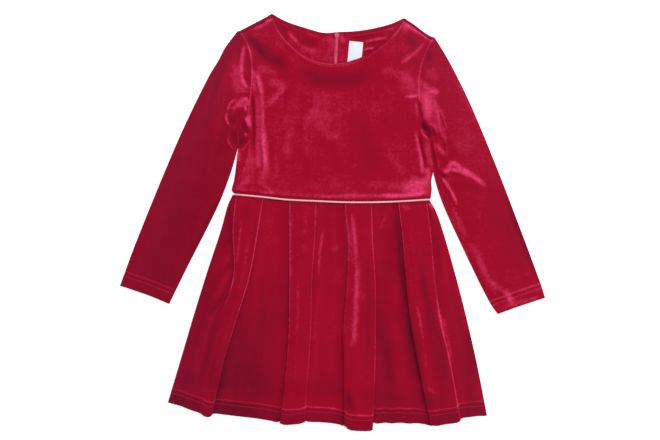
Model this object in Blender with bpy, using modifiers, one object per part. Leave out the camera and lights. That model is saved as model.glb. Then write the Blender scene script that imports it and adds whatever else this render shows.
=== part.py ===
"""A toddler's long-sleeved velvet party dress, size 104, laid flat on a table with its front up.

The table is the plane Z = 0. +X runs to the right across the dress, +Y from the hem to the neck,
and left and right are as seen from above. Tables and formulas are in millimetres, and the meshes
are built in metres. Each piece that is cut and sewn is an object of its own, 0.3 mm clear of the
piece it is sewn to. A height z in a table is that of the middle of the cloth.
"""

import math
from bisect import bisect_right
from collections import namedtuple

import bmesh
import bpy
from mathutils import Vector

MM = 0.001

CLOTH = 1.1  # velvet with its pile
SEAM = 0.3  # between two pieces that are sewn together or lie on each other
LAYER = CLOTH + SEAM  # from one layer of cloth to the next
BACK_Z = CLOTH / 2  # the back lies on the table
FRONT_Z = BACK_Z + LAYER  # the front lies on the back
FOLD_R = LAYER / 2  # how tightly the cloth turns back over itself
FOLD_INSET = FOLD_R + CLOTH / 2  # from the outside of a fold to the middle of its turn

PIPING_R = 1.2
BACK_PIPING_R = 0.75  # pressed flat under the dress
WAIST_Z = 5.4  # the bodice climbs over the pleats sewn in below it
WAIST_CLIMB = 36.0  # above the waist seam
WAIST_SIDE = 13.0  # in from each side seam
PIPING_LIFT = 0.9

SKIRT_Z = BACK_Z + 3 * LAYER  # the front skirt lies on the back skirt's three-layer folds
RECESS_SAG = 1.2
BOX_SAG = 1.0
DIP_SHARE = 0.32  # the part of a span over which it sags
CLIMB_SHARE = 0.6  # the part of the skirt's side over which it climbs to its first fold

CHEST_LOFT = 1.3
SLEEVE_LOFT = 1.3
LOFT_EDGE = 0.2  # the share of a panel over which its loft comes up from an edge
CREASE_TAPER = 0.35  # the share of its length over which a crease fades in and out
CREASE_REACH = 0.1  # how far past its two ends it fades
ZIP_WIDTH = 4.2
ZIP_LENGTH = 190.0
ZIP_THICK = 1.0
SLIDER = (7.0, 6.0, 1.8)
LABEL_SIZE = (19.5, 34.0, 1.0)
LABEL_AT = (32.0, 236.5)
LABEL_TURN = math.radians(-5.5)

Point = namedtuple("Point", "name x y z")
Fold = namedtuple(
    "Fold", "name waist down5 down16 down36 down55 down75 hem deep_waist deep_hem recess_hem box_hem"
)
Crease = namedtuple("Crease", "name x0 y0 x1 y1 bow width height")
Colour = namedtuple("Colour", "name red green blue roughness metallic")

VELVET = Colour("crimson velvet", 0.35, 0.006, 0.028, 0.85, 0.0)
METALLIC = Colour("cream gold piping", 0.83, 0.55, 0.45, 0.4, 0.3)
ZIP = Colour("pink zip", 0.60, 0.09, 0.15, 0.6, 0.0)
LABEL = Colour("white label", 0.78, 0.84, 0.90, 0.8, 0.0)

# The waist seam, along the middle of its piping.
WAIST = (
    Point("left side seam", -136.5, 39.5, 0),
    Point("left pleat", -98.3, 35.8, 0),
    Point("second pleat", -63.0, 32.2, 0),
    Point("inner pleat", -19.7, 30.0, 0),
    Point("middle", 16.0, 28.2, 0),
    Point("third pleat", 55.4, 28.0, 0),
    Point("fourth pleat", 92.3, 29.5, 0),
    Point("right side seam", 136.8, 32.2, 0),
)
SIDE_LEFT = (
    Point("waist", -136.9, 41.1, FRONT_Z),
    Point("over the waist", -139.6, 47.5, FRONT_Z),
    Point("ribs", -136.8, 60.8, FRONT_Z),
    Point("underarm", -132.0, 102.8, FRONT_Z),
)
SIDE_RIGHT = (
    Point("waist", 137.0, 33.8, FRONT_Z),
    Point("over the waist", 137.6, 44.0, FRONT_Z),
    Point("ribs", 138.2, 54.0, FRONT_Z),
    Point("underarm", 141.0, 69.2, FRONT_Z),
)
ARMHOLE_LEFT = (
    Point("underarm", -132.0, 102.8, FRONT_Z),
    Point("low notch", -124.4, 117.0, 2.3),
    Point("lower", -119.6, 147.6, 2.8),
    Point("chest", -114.4, 185.0, 3.2),
    Point("upper", -113.0, 219.0, 3.2),
    Point("cap", -117.8, 246.0, 2.8),
    Point("shoulder", -130.0, 267.2, 2.2),
)
ARMHOLE_RIGHT = (
    Point("underarm", 141.0, 69.2, FRONT_Z),
    Point("low notch", 138.4, 104.2, 2.3),
    Point("lower", 128.6, 132.0, 2.8),
    Point("chest", 123.4, 166.0, 3.2),
    Point("upper", 121.8, 200.0, 3.2),
    Point("cap", 128.4, 230.2, 2.8),
    Point("shoulder", 141.6, 258.2, 2.2),
)
NECK_FRONT = (
    Point("left shoulder point", -84.1, 286.4, 2.2),
    Point("left side", -77.7, 272.0, 2.6),
    Point("left slope", -63.8, 251.4, 3.0),
    Point("left turn", -36.0, 229.8, 3.4),
    Point("lowest", 1.0, 221.8, 3.5),
    Point("right turn", 38.0, 229.6, 3.5),
    Point("right slope", 62.0, 245.4, 3.2),
    Point("right side", 86.0, 266.6, 2.6),
    Point("right shoulder point", 100.2, 281.7, 2.2),
)
NECK_BACK_LEFT = (
    Point("shoulder point", -84.4, 291.2, BACK_Z),
    Point("slope", -62.0, 279.6, BACK_Z),
    Point("turn", -32.0, 269.4, BACK_Z),
    Point("centre back", 6.4, 265.2, BACK_Z),
)
NECK_BACK_RIGHT = (
    Point("shoulder point", 100.4, 284.6, BACK_Z),
    Point("slope", 76.6, 275.8, BACK_Z),
    Point("turn", 45.0, 269.2, BACK_Z),
    Point("centre back", 6.4, 265.2, BACK_Z),
)
CENTRE_BACK = (
    Point("waist", -0.4, 30.4, BACK_Z),
    Point("middle", 1.0, 143.4, BACK_Z),
    Point("neck", 6.4, 265.2, BACK_Z),
)
SLEEVE_LEFT = {
    "inner": (
        Point("cuff", -230.0, -113.4, FRONT_Z),
        Point("wrist", -206.8, -67.6, FRONT_Z),
        Point("elbow", -160.9, 21.6, FRONT_Z),
        Point("upper arm", -141.9, 69.0, FRONT_Z),
        Point("underarm", -132.9, 103.0, FRONT_Z),
    ),
    "outer": (
        Point("cuff", -296.7, -87.4, FRONT_Z),
        Point("wrist", -272.9, -24.6, FRONT_Z),
        Point("elbow", -230.0, 81.8, FRONT_Z),
        Point("upper arm", -171.2, 207.8, FRONT_Z),
        Point("head", -150.2, 244.6, FRONT_Z),
        Point("shoulder", -130.9, 267.9, FRONT_Z),
    ),
    "cuff": (
        Point("inner", -230.0, -113.4, FRONT_Z),
        Point("middle", -255.5, -101.6, 2.6),
        Point("outer", -296.7, -87.4, FRONT_Z),
    ),
}
SLEEVE_RIGHT = {
    "inner": (
        Point("cuff", 232.0, -128.4, FRONT_Z),
        Point("wrist", 205.7, -83.2, FRONT_Z),
        Point("elbow", 177.8, -24.6, FRONT_Z),
        Point("upper arm", 157.5, 21.3, FRONT_Z),
        Point("underarm", 142.0, 69.4, FRONT_Z),
    ),
    "outer": (
        Point("cuff", 296.5, -105.8, FRONT_Z),
        Point("wrist", 290.2, -86.0, FRONT_Z),
        Point("elbow", 233.0, 69.2, FRONT_Z),
        Point("upper arm", 185.2, 183.4, FRONT_Z),
        Point("head", 161.7, 227.4, FRONT_Z),
        Point("shoulder", 142.5, 258.9, FRONT_Z),
    ),
    "cuff": (
        Point("inner", 232.0, -128.4, FRONT_Z),
        Point("middle", 262.0, -116.4, 2.6),
        Point("outer", 296.5, -105.8, FRONT_Z),
    ),
}

# The skirt's side seams and the folds of its four box pleats: x at the waist, at six distances
# down the skirt as a share of its length, how deep the cloth turns under, and y of both hems.
STATIONS = (0.0, 0.05, 0.16, 0.36, 0.55, 0.75, 1.0)
SIDE_SEAM_LEFT = Fold(
    "left side seam", -137.4, -146.0, -157.1, -174.2, -190.0, -207.3, -228.8, 0, 0, -250.9, -250.9
)
FOLDS = (
    Fold("pleat 1 left", -132.0, -133.2, -137.4, -140.4, -154.4, -169.1, -183.8, 15, 4, -266.0, -268.0),
    Fold("pleat 1 right", -96.2, -98.6, -104.9, -116.2, -132.9, -151.6, -167.6, 16, 6, -267.8, -272.0),
    Fold("pleat 2 left", -60.3, -60.2, -59.9, -60.2, -60.9, -64.6, -73.6, 16, 7, -279.0, -282.5),
    Fold("pleat 2 right", -21.8, -22.5, -23.8, -27.9, -29.1, -32.8, -38.2, 16, 8, -278.0, -279.0),
    Fold("pleat 3 left", 16.4, 18.5, 23.0, 22.7, 18.3, 16.8, 18.1, 16, 8, -283.6, -287.8),
    Fold("pleat 3 right", 55.4, 56.0, 57.0, 60.9, 61.0, 60.2, 56.7, 16, 8, -281.6, -291.2),
    Fold("pleat 4 left", 91.6, 93.7, 98.0, 102.8, 109.8, 121.2, 137.2, 16, 7, -281.5, -284.3),
    Fold("pleat 4 right", 132.0, 134.2, 138.6, 144.5, 152.6, 166.4, 180.0, 15, 7, -275.7, -278.7),
)
SIDE_SEAM_RIGHT = Fold(
    "right side seam", 137.0, 144.5, 156.0, 173.5, 186.8, 200.5, 215.6, 0, 0, -268.0, -268.0
)

# The largest creases, ridges with a height over 0 and troughs under it.
CREASES = (
    Crease("left chest ridge", -108.0, 206.0, -95.0, 72.0, 3.0, 5.0, 2.6),
    Crease("left chest trough", -112.0, 168.0, -110.0, 98.0, 1.0, 3.2, -1.6),
    Crease("left underarm pocket", -124.0, 136.0, -129.5, 108.0, 0.0, 3.6, -1.4),
    Crease("left sleeve head ridge", -128.0, 222.0, -118.0, 178.0, -6.0, 6.0, 1.5),
    Crease("left sleeve hook ridge", -130.0, 172.0, -138.0, 116.0, 13.0, 4.5, 1.6),
    Crease("left elbow ridge", -160.0, 128.0, -184.0, 30.0, -4.0, 9.0, 1.0),
    Crease("right sleeve head ridge", 132.0, 196.0, 150.0, 140.0, -5.0, 9.0, 1.7),
    Crease("right underarm trough", 124.0, 132.0, 140.0, 128.0, 0.0, 4.0, -1.2),
    Crease("right chest ridge", 119.0, 158.0, 125.0, 80.0, -3.0, 5.0, 2.4),
    Crease("right chest trough", 123.0, 122.0, 132.0, 74.0, 2.0, 3.2, -1.4),
    Crease("right upper arm ridge", 156.0, 112.0, 180.0, 78.0, 3.0, 5.5, 1.6),
    Crease("right forearm ridge", 194.0, -28.0, 244.0, -92.0, 6.0, 7.0, 1.4),
)

NECK_COLUMNS = 16
SHOULDER_COLUMNS = 4
SIDE_ROWS = 5
ARMHOLE_ROWS = 12
BACK_COLUMNS = 5
SLEEVE_ROWS = 8
CAP_ROWS = 2
ZIP_ROWS = 8
FOLD_STEPS = 3
SIDE_SHARES = (0.0, 0.3, 0.62)
RECESS_SHARES = (0.2, 0.5, 0.8)
BOX_SHARES = (0.3, 0.7)
FRONT_SHOULDER_END = 0.972  # the front stops short of the shoulder fold, and the back shows beyond it
FRONT_SKIRT_ROWS = (0.0, 0.05, 0.13, 0.23, 0.36, 0.50, 0.64, 0.78, 0.90, 1.0)
BACK_SKIRT_ROWS = (0.0, 0.05, 0.18, 0.40, 0.70, 1.0)


def smooth(knots, values):
    """A function through the values at rising knots, numbers or vectors, as a cubic Hermite curve."""
    last = len(knots) - 1

    def slope(i):
        before, after = max(i - 1, 0), min(i + 1, last)
        return (values[after] - values[before]) / (knots[after] - knots[before])

    def at(t):
        i = min(max(bisect_right(knots, t) - 1, 0), last - 1)
        step = knots[i + 1] - knots[i]
        w = (t - knots[i]) / step
        start = (2 * w**3 - 3 * w**2 + 1) * values[i] + (w**3 - 2 * w**2 + w) * step * slope(i)
        return start + (3 * w**2 - 2 * w**3) * values[i + 1] + (w**3 - w**2) * step * slope(i + 1)

    return at


def path(rows):
    """A function of the share, 0 to 1, of the way along a smooth curve through a table's points."""
    points = [Vector((row.x, row.y, row.z)) for row in rows]
    knots = [0.0]
    for here, there in zip(points, points[1:]):
        knots.append(knots[-1] + (there - here).length)
    return smooth([knot / knots[-1] for knot in knots], points)


def ease(t):
    """0 below 0, 1 above 1, and a soft step between."""
    t = min(max(t, 0.0), 1.0)
    return t * t * (3 - 2 * t)


def coons(bottom, top, left, right):
    """The surface inside four edges: bottom and top run left to right, left and right upwards."""
    corners = (bottom(0), bottom(1), top(0), top(1))

    def at(u, v):
        across = (1 - v) * bottom(u) + v * top(u)
        upward = (1 - u) * left(v) + u * right(v)
        flat = (1 - u) * (1 - v) * corners[0] + u * (1 - v) * corners[1]
        flat = flat + (1 - u) * v * corners[2] + u * v * corners[3]
        return across + upward - flat

    return at


def in_turn(first, share, second):
    """Two curves end to end, the first one taking that share of the way."""
    return lambda t: first(t / share) if t < share else second((t - share) / (1 - share))


def crease_height(x, y):
    """How far the creases lift the cloth at a place."""
    total = 0.0
    for row in CREASES:
        along = Vector((row.x1 - row.x0, row.y1 - row.y0))
        offset = Vector((x - row.x0, y - row.y0))
        share = offset.dot(along) / along.length_squared
        from_end = min(share, 1 - share) + CREASE_REACH
        if from_end > 0:
            side = (offset.x * along.y - offset.y * along.x) / along.length
            side -= row.bow * 4 * share * (1 - share)
            total += row.height * ease(from_end / CREASE_TAPER) * math.exp(-((side / row.width) ** 2))
    return total


def colour(row):
    """The Principled material for a row of colour, one for each row."""
    material = bpy.data.materials.get(row.name)
    if material is None:
        material = bpy.data.materials.new(row.name)
        material.use_nodes = True
        shader = material.node_tree.nodes["Principled BSDF"]
        shader.inputs["Base Color"].default_value = (row.red, row.green, row.blue, 1)
        shader.inputs["Roughness"].default_value = row.roughness
        shader.inputs["Metallic"].default_value = row.metallic
    return material


def add_object(name, data, finish, collection):
    """An object with its material, in the dress's collection."""
    made = bpy.data.objects.new(name, data)
    data.materials.append(colour(finish))
    collection.objects.link(made)
    return made


def cloth_sheet(name, columns, rows, place, collection, thickness=CLOTH, finish=VELVET, tube=False):
    """Cloth as a grid whose points place(column, row) gives, thickened to both sides.

    A tube's first and last columns are the same points, and they are joined."""
    grid = bmesh.new()
    bmesh.ops.create_grid(grid, x_segments=columns, y_segments=rows, size=0.5)
    for vert in grid.verts:
        column = round((vert.co.x + 0.5) * columns)
        row = round((vert.co.y + 0.5) * rows)
        vert.co = place(column, row) * MM
    if tube:
        bmesh.ops.remove_doubles(grid, verts=grid.verts, dist=1e-6)
    mesh = bpy.data.meshes.new(name)
    grid.to_mesh(mesh)
    grid.free()
    mesh.shade_smooth()
    sheet = add_object(name, mesh, finish, collection)
    wall = sheet.modifiers.new("wall", "SOLIDIFY")
    wall.thickness = thickness * MM
    wall.offset = 0
    wall.use_even_offset = True
    return sheet


def block(name, size, centre, finish, collection, turn, bevel):
    """A small flat block on the back panel, with its edges bevelled."""
    form = bmesh.new()
    bmesh.ops.create_cube(form, size=1.0)
    for vert in form.verts:
        vert.co = Vector((vert.co.x * size[0], vert.co.y * size[1], vert.co.z * size[2])) * MM
    mesh = bpy.data.meshes.new(name)
    form.to_mesh(mesh)
    form.free()
    made = add_object(name, mesh, finish, collection)
    made.location = Vector(centre) * MM
    made.rotation_euler.z = turn
    if bevel:
        edges = made.modifiers.new("edges", "BEVEL")
        edges.width = bevel * MM
        edges.segments = 2
    return made


def waist_y(x):
    """y of the waist seam at a place across the dress."""
    line = smooth([row.x for row in WAIST], [row.y for row in WAIST])
    return line(min(max(x, WAIST[0].x), WAIST[-1].x))


def side_distance(x):
    """How far inside the nearer side seam a place on the waist is."""
    return max(min(x - WAIST[0].x, WAIST[-1].x - x), 0.0)


def waist_lift(x, y):
    """How far the front bodice climbs towards the pleats below the waist seam."""
    climb = 1 - ease((y - waist_y(x)) / WAIST_CLIMB)
    return (WAIST_Z - FRONT_Z) * climb * ease(side_distance(x) / WAIST_SIDE)


def bodice_bottom(start, end, height, cord):
    """The bodice's lower edge, just above the piping, between two places across the dress."""

    def at(t):
        x = start + (end - start) * t
        return Vector((x, waist_y(x) + cord + SEAM, height))

    return at


def bodice_edge(side_rows, armhole_rows, shoulder_end):
    """A bodice's side seam and armhole as one edge, its two parts meeting at a row of the grid."""
    share = SIDE_ROWS / (SIDE_ROWS + ARMHOLE_ROWS)
    side, armhole = path(side_rows), path(armhole_rows)

    def shoulder(t):
        last = (ARMHOLE_ROWS - 1) / ARMHOLE_ROWS
        if t > last:
            t = last + (t - last) / (1 - last) * (shoulder_end - last)
        return armhole(t)

    return in_turn(side, share, shoulder)


def front_place():
    """Where each point of the front bodice lies."""
    columns = NECK_COLUMNS + 2 * SHOULDER_COLUMNS
    shoulder_share = SHOULDER_COLUMNS / columns
    left = bodice_edge(SIDE_LEFT, ARMHOLE_LEFT, FRONT_SHOULDER_END)
    right = bodice_edge(SIDE_RIGHT, ARMHOLE_RIGHT, FRONT_SHOULDER_END)
    neck = path(NECK_FRONT)
    neck_share = 1 - 2 * shoulder_share

    def top(t):
        if t < shoulder_share:
            return left(1).lerp(neck(0), t / shoulder_share)
        if t > 1 - shoulder_share:
            return neck(1).lerp(right(1), (t - 1 + shoulder_share) / shoulder_share)
        return neck((t - shoulder_share) / neck_share)

    bottom = bodice_bottom(left(0).x, right(0).x, FRONT_Z, PIPING_R)
    surface = coons(bottom, top, left, right)
    rows = SIDE_ROWS + ARMHOLE_ROWS

    def place(column, row):
        u, v = column / columns, row / rows
        point = surface(u, v)
        loft = CHEST_LOFT * ease(min(u, 1 - u) / LOFT_EDGE) * ease((1 - v) / LOFT_EDGE)
        point.z += loft + waist_lift(point.x, point.y) + crease_height(point.x, point.y)
        point.z = max(point.z, FRONT_Z)
        return point

    return columns, rows, place


def back_place(side_rows, armhole_rows, neck_rows, seam_side):
    """Where each point of one half of the back bodice lies, from its side to the centre back."""
    columns = SHOULDER_COLUMNS - 1 + BACK_COLUMNS
    shoulder_share = (SHOULDER_COLUMNS - 1) / columns
    outer = bodice_edge(side_rows, armhole_rows, 1.0)
    neck = path(neck_rows)
    centre = path(CENTRE_BACK)
    gap = Vector((seam_side * SEAM / 2, 0, 0))

    def inner(t):
        return centre(t) + gap

    def top(t):
        if t < shoulder_share:
            return outer(1).lerp(neck(0), t / shoulder_share)
        return neck((t - shoulder_share) / (1 - shoulder_share)) + gap

    bottom = bodice_bottom(outer(0).x, inner(0).x, BACK_Z, BACK_PIPING_R)
    surface = coons(bottom, top, outer, inner)
    rows = SIDE_ROWS + ARMHOLE_ROWS

    def place(column, row):
        point = surface(column / columns, row / rows)
        point.z = BACK_Z
        return point

    return columns, rows, place


def sleeve_place(tables, armhole_rows):
    """Where each point of a flattened sleeve lies, ring by ring from its cuff to the armhole.

    A ring runs along the back layer from the underarm seam outwards, turns up at the outer fold,
    comes back along the front layer and turns down at the underarm. The last rings are the sleeve's
    cap: they share the straight line's ends, and bow out to the armhole."""
    armhole = path(armhole_rows)
    inner, outer, cuff = path(tables["inner"]), path(tables["outer"]), path(tables["cuff"])
    across = ARMHOLE_ROWS
    columns = 2 * (across + FOLD_STEPS)

    def bow(edge, u):
        """How far an end of the sleeve curves off the straight line between its two corners."""
        return edge(u) - edge(0).lerp(edge(1), u)

    def surface(u, v, cap):
        """The line across the sleeve, bowed as the cuff is at one end and the armhole at the other."""
        point = inner(v).lerp(outer(v), u)
        return point + bow(cuff, u) * (1 - v) ** 2 + bow(armhole, u) * cap

    def layer(u, v, cap, outward, back):
        point = surface(u, v, cap)
        point += outward * FOLD_INSET * (max(1 - u * across, 0) - max(1 - (1 - u) * across, 0))
        if back:
            point.z = BACK_Z
            return point
        window = ease(min(u, 1 - u) / LOFT_EDGE)
        loft = SLEEVE_LOFT * window * ease(min(v, 1 - v) / LOFT_EDGE)
        crease = window * crease_height(point.x, point.y)
        point.z = max(FRONT_Z + (point.z - FRONT_Z) * window + loft + crease, FRONT_Z)
        return point

    def turn(edge, outward, share):
        angle = math.pi * (share - 0.5)
        point = edge - outward * (FOLD_INSET - FOLD_R * math.cos(angle))
        point.z = (BACK_Z + FRONT_Z) / 2 + FOLD_R * math.sin(angle)
        return point

    def place(column, row):
        v = min(row / SLEEVE_ROWS, 1)
        cap = max(row - SLEEVE_ROWS, 0) / CAP_ROWS
        start, end = inner(v), outer(v)
        outward = Vector((end.x - start.x, end.y - start.y, 0)).normalized()
        column %= columns
        if column <= across:
            return layer(column / across, v, cap, outward, True)
        column -= across + FOLD_STEPS
        if column < 0:
            return turn(end, outward, 1 + column / FOLD_STEPS)
        if column <= across:
            return layer(1 - column / across, v, cap, outward, False)
        return turn(start, -outward, 1 - (column - across) / FOLD_STEPS)

    return columns, SLEEVE_ROWS + CAP_ROWS, place


def fold_x(fold, v):
    """x of a fold or side seam at a share of the way down the skirt."""
    values = (fold.waist, fold.down5, fold.down16, fold.down36, fold.down55, fold.down75, fold.hem)
    return smooth(STATIONS, values)(v)


class Section:
    """The points of a section across the skirt: x, z and the y that each has at the hem."""

    def __init__(self):
        self.points = []

    def span(self, start, end, shares, height, hems):
        """Points at shares of the way between two places, height giving z."""
        for share in shares:
            hem = hems[0] + (hems[1] - hems[0]) * share
            self.points.append((start + (end - start) * share, height(share), hem))

    def turn(self, fold_x, outward, heights, hem):
        """The cloth turns back over itself, its outside reaching fold_x."""
        middle, half = sum(heights) / 2, (heights[1] - heights[0]) / 2
        centre = fold_x - outward * FOLD_INSET
        for step in range(FOLD_STEPS + 1):
            angle = math.pi * (step / FOLD_STEPS - 0.5)
            x = centre + outward * FOLD_R * math.cos(angle)
            self.points.append((x, middle + half * math.sin(angle), hem))


def dip(height, depth):
    """A height that sags by depth between the two ends of a span."""
    return lambda share: height - depth * ease(min(share, 1 - share) / DIP_SHARE)


def side_rise(seam_z, recess_z, front):
    """The side of the skirt climbs from its seam to the first fold, the front before the back."""

    def height(share):
        rise = share / CLIMB_SHARE if front else (share - 1 + CLIMB_SHARE) / CLIMB_SHARE
        return seam_z + (recess_z - seam_z) * min(max(rise, 0), 1)

    return height


def skirt_section(v, front):
    """A section across the skirt, at a share of the way down it, as a Section's points.

    In front the recesses are the lowest layer and the boxes the highest. Behind, the boxes lie on
    the table, and the recesses pass over their folds and drop to the table between them."""
    if front:
        seam_z, recess_z, box_z = FRONT_Z, SKIRT_Z, SKIRT_Z + 2 * LAYER
        recess_sag, box_sag = RECESS_SAG, BOX_SAG * v
    else:
        seam_z, recess_z, box_z = BACK_Z, BACK_Z + 2 * LAYER, BACK_Z
        recess_sag, box_sag = 2 * LAYER, 0.0
    middle_z = (recess_z + box_z) / 2
    edges = [fold_x(fold, v) for fold in FOLDS]
    rise = side_rise(seam_z, recess_z, front)
    section = Section()
    hems = SIDE_SEAM_LEFT.recess_hem, FOLDS[0].recess_hem
    section.span(fold_x(SIDE_SEAM_LEFT, v), edges[0], SIDE_SHARES, rise, hems)
    for left in range(0, len(FOLDS), 2):
        right = left + 1
        opening, closing = FOLDS[left], FOLDS[right]
        start, end = edges[left], edges[right]
        under = opening.deep_waist + (opening.deep_hem - opening.deep_waist) * v
        section.points.append((start, recess_z, opening.recess_hem))
        deep_hem = (opening.recess_hem + opening.box_hem) / 2
        section.turn(start + under, 1, (recess_z, middle_z), deep_hem)
        section.turn(start, -1, (middle_z, box_z), opening.box_hem)
        section.span(start, end, BOX_SHARES, dip(box_z, box_sag), (opening.box_hem, closing.box_hem))
        under = closing.deep_waist + (closing.deep_hem - closing.deep_waist) * v
        section.turn(end, 1, (box_z, middle_z), closing.box_hem)
        deep_hem = (closing.recess_hem + closing.box_hem) / 2
        section.turn(end - under, -1, (middle_z, recess_z), deep_hem)
        section.points.append((end, recess_z, closing.recess_hem))
        if right + 1 < len(FOLDS):
            hems = closing.recess_hem, FOLDS[right + 1].recess_hem
            section.span(end, edges[right + 1], RECESS_SHARES, dip(recess_z, recess_sag), hems)
    hems = SIDE_SEAM_RIGHT.recess_hem, FOLDS[-1].recess_hem
    section.span(fold_x(SIDE_SEAM_RIGHT, v), edges[-1], reversed(SIDE_SHARES), rise, hems)
    return section.points


def skirt_place(rows, front):
    """Where each point of a skirt panel lies, its rows running from the hem to the waist."""
    top = [waist_y(point[0]) - PIPING_R - SEAM for point in skirt_section(0.0, front)]
    downwards = list(reversed(rows))
    sections = [skirt_section(v, front) for v in downwards]

    def place(column, row):
        x, z, hem = sections[row][column]
        y = top[column] + (hem - top[column]) * downwards[row]
        return Vector((x, y, z))

    return len(top) - 1, len(rows) - 1, place


def piping(name, radius, height, collection, inset, count):
    """The covered cord in the waist seam, as a tube of count points that stops inset from each end."""
    start, end = WAIST[0].x + inset, WAIST[-1].x - inset
    curve = bpy.data.curves.new(name, "CURVE")
    curve.dimensions = "3D"
    curve.bevel_depth = radius * MM
    curve.bevel_resolution = 2
    curve.use_fill_caps = True
    spline = curve.splines.new("POLY")
    spline.points.add(count - 1)
    for index, point in enumerate(spline.points):
        x = start + (end - start) * index / (count - 1)
        point.co = (x * MM, waist_y(x) * MM, height(x) * MM, 1)
    return add_object(name, curve, METALLIC, collection)


def add_bodice(collection):
    """The front in one piece, and the back in two halves that meet at the centre back."""
    cloth_sheet("bodice_front", *front_place(), collection)
    left = back_place(SIDE_LEFT, ARMHOLE_LEFT, NECK_BACK_LEFT, -1)
    right = back_place(SIDE_RIGHT, ARMHOLE_RIGHT, NECK_BACK_RIGHT, 1)
    cloth_sheet("bodice_back_left", *left, collection)
    cloth_sheet("bodice_back_right", *right, collection)


def add_sleeves(collection):
    """A long set-in sleeve on each side."""
    left = sleeve_place(SLEEVE_LEFT, ARMHOLE_LEFT)
    right = sleeve_place(SLEEVE_RIGHT, ARMHOLE_RIGHT)
    cloth_sheet("sleeve_left", *left, collection, tube=True)
    cloth_sheet("sleeve_right", *right, collection, tube=True)


def add_skirt(collection):
    """Two panels, each folded into four box pleats."""
    cloth_sheet("skirt_front", *skirt_place(FRONT_SKIRT_ROWS, True), collection)
    cloth_sheet("skirt_back", *skirt_place(BACK_SKIRT_ROWS, False), collection)


def add_waist_piping(collection):
    """The piping in front and behind, each between its side seams."""

    def over_pleats(x):
        return FRONT_Z + PIPING_LIFT + waist_lift(x, waist_y(x))

    def on_table(x):
        return BACK_PIPING_R

    piping("waist_piping_front", PIPING_R, over_pleats, collection, inset=0.0, count=32)
    piping("waist_piping_back", BACK_PIPING_R, on_table, collection, inset=4.0, count=20)


def add_zip(collection):
    """The closed concealed zip on the inside of the centre back, and its slider at the neck."""
    centre = path(CENTRE_BACK)
    neck, waist = CENTRE_BACK[-1], CENTRE_BACK[0]
    on_back = CLOTH + SEAM
    at = (neck.x, neck.y - SLIDER[1] / 2, on_back + SLIDER[2] / 2)
    block("zip_slider", SLIDER, at, ZIP, collection, turn=0.0, bevel=0.5)
    top_y = neck.y - SLIDER[1] - SEAM
    first = (top_y - ZIP_LENGTH - waist.y) / (neck.y - waist.y)
    last = (top_y - waist.y) / (neck.y - waist.y)

    def place(column, row):
        point = centre(first + (last - first) * row / ZIP_ROWS)
        return Vector((point.x + (column - 0.5) * ZIP_WIDTH, point.y, on_back + ZIP_THICK / 2))

    cloth_sheet("back_zip", 1, ZIP_ROWS, place, collection, thickness=ZIP_THICK, finish=ZIP)


def add_label(collection):
    """The bare label, sewn in below the back neck and tucked behind the front."""
    centre = (LABEL_AT[0], LABEL_AT[1], CLOTH + SEAM + LABEL_SIZE[2] / 2)
    block("neck_label", LABEL_SIZE, centre, LABEL, collection, turn=LABEL_TURN, bevel=0.0)


def main():
    """Every piece of the dress, in one collection."""
    for old in list(bpy.data.objects):
        bpy.data.objects.remove(old)
    collection = bpy.data.collections.new("toddler_party_dress")
    bpy.context.scene.collection.children.link(collection)
    add_bodice(collection)
    add_sleeves(collection)
    add_skirt(collection)
    add_waist_piping(collection)
    add_zip(collection)
    add_label(collection)


main()
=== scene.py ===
"""Looks of a toddler's long-sleeved velvet party dress, laid flat with its front up.

The dress lies on the plane Z = 0, with +X to the right across it and +Y from the hem to the neck.
Tables and shapes are in millimetres, and a piece's mesh is scaled to metres when it is made. Each
cloth is first a grid of points in the middle of its thickness, whose rows run up the dress and
whose columns run across it.
"""

import math
from collections import namedtuple

import bmesh
import bpy
import numpy as np
from mathutils import Matrix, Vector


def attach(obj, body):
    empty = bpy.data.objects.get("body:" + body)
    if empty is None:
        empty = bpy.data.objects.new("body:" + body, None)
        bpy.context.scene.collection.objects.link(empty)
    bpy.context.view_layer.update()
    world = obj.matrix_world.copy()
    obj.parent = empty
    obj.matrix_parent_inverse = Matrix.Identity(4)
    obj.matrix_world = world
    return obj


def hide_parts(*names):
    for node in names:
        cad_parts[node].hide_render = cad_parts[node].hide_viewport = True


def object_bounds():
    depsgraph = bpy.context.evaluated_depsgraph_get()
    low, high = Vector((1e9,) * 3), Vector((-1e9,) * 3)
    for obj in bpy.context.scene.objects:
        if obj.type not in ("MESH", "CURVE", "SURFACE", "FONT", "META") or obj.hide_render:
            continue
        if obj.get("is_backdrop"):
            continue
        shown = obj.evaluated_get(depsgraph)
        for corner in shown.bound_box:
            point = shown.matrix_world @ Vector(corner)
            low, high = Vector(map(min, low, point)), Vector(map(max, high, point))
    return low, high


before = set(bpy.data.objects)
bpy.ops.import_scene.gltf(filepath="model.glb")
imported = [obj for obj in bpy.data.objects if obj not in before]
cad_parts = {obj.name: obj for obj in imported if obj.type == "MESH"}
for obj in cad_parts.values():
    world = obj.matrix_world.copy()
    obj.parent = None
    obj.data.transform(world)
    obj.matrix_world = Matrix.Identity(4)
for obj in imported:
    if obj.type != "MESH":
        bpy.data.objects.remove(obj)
CAD_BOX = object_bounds()

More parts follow.
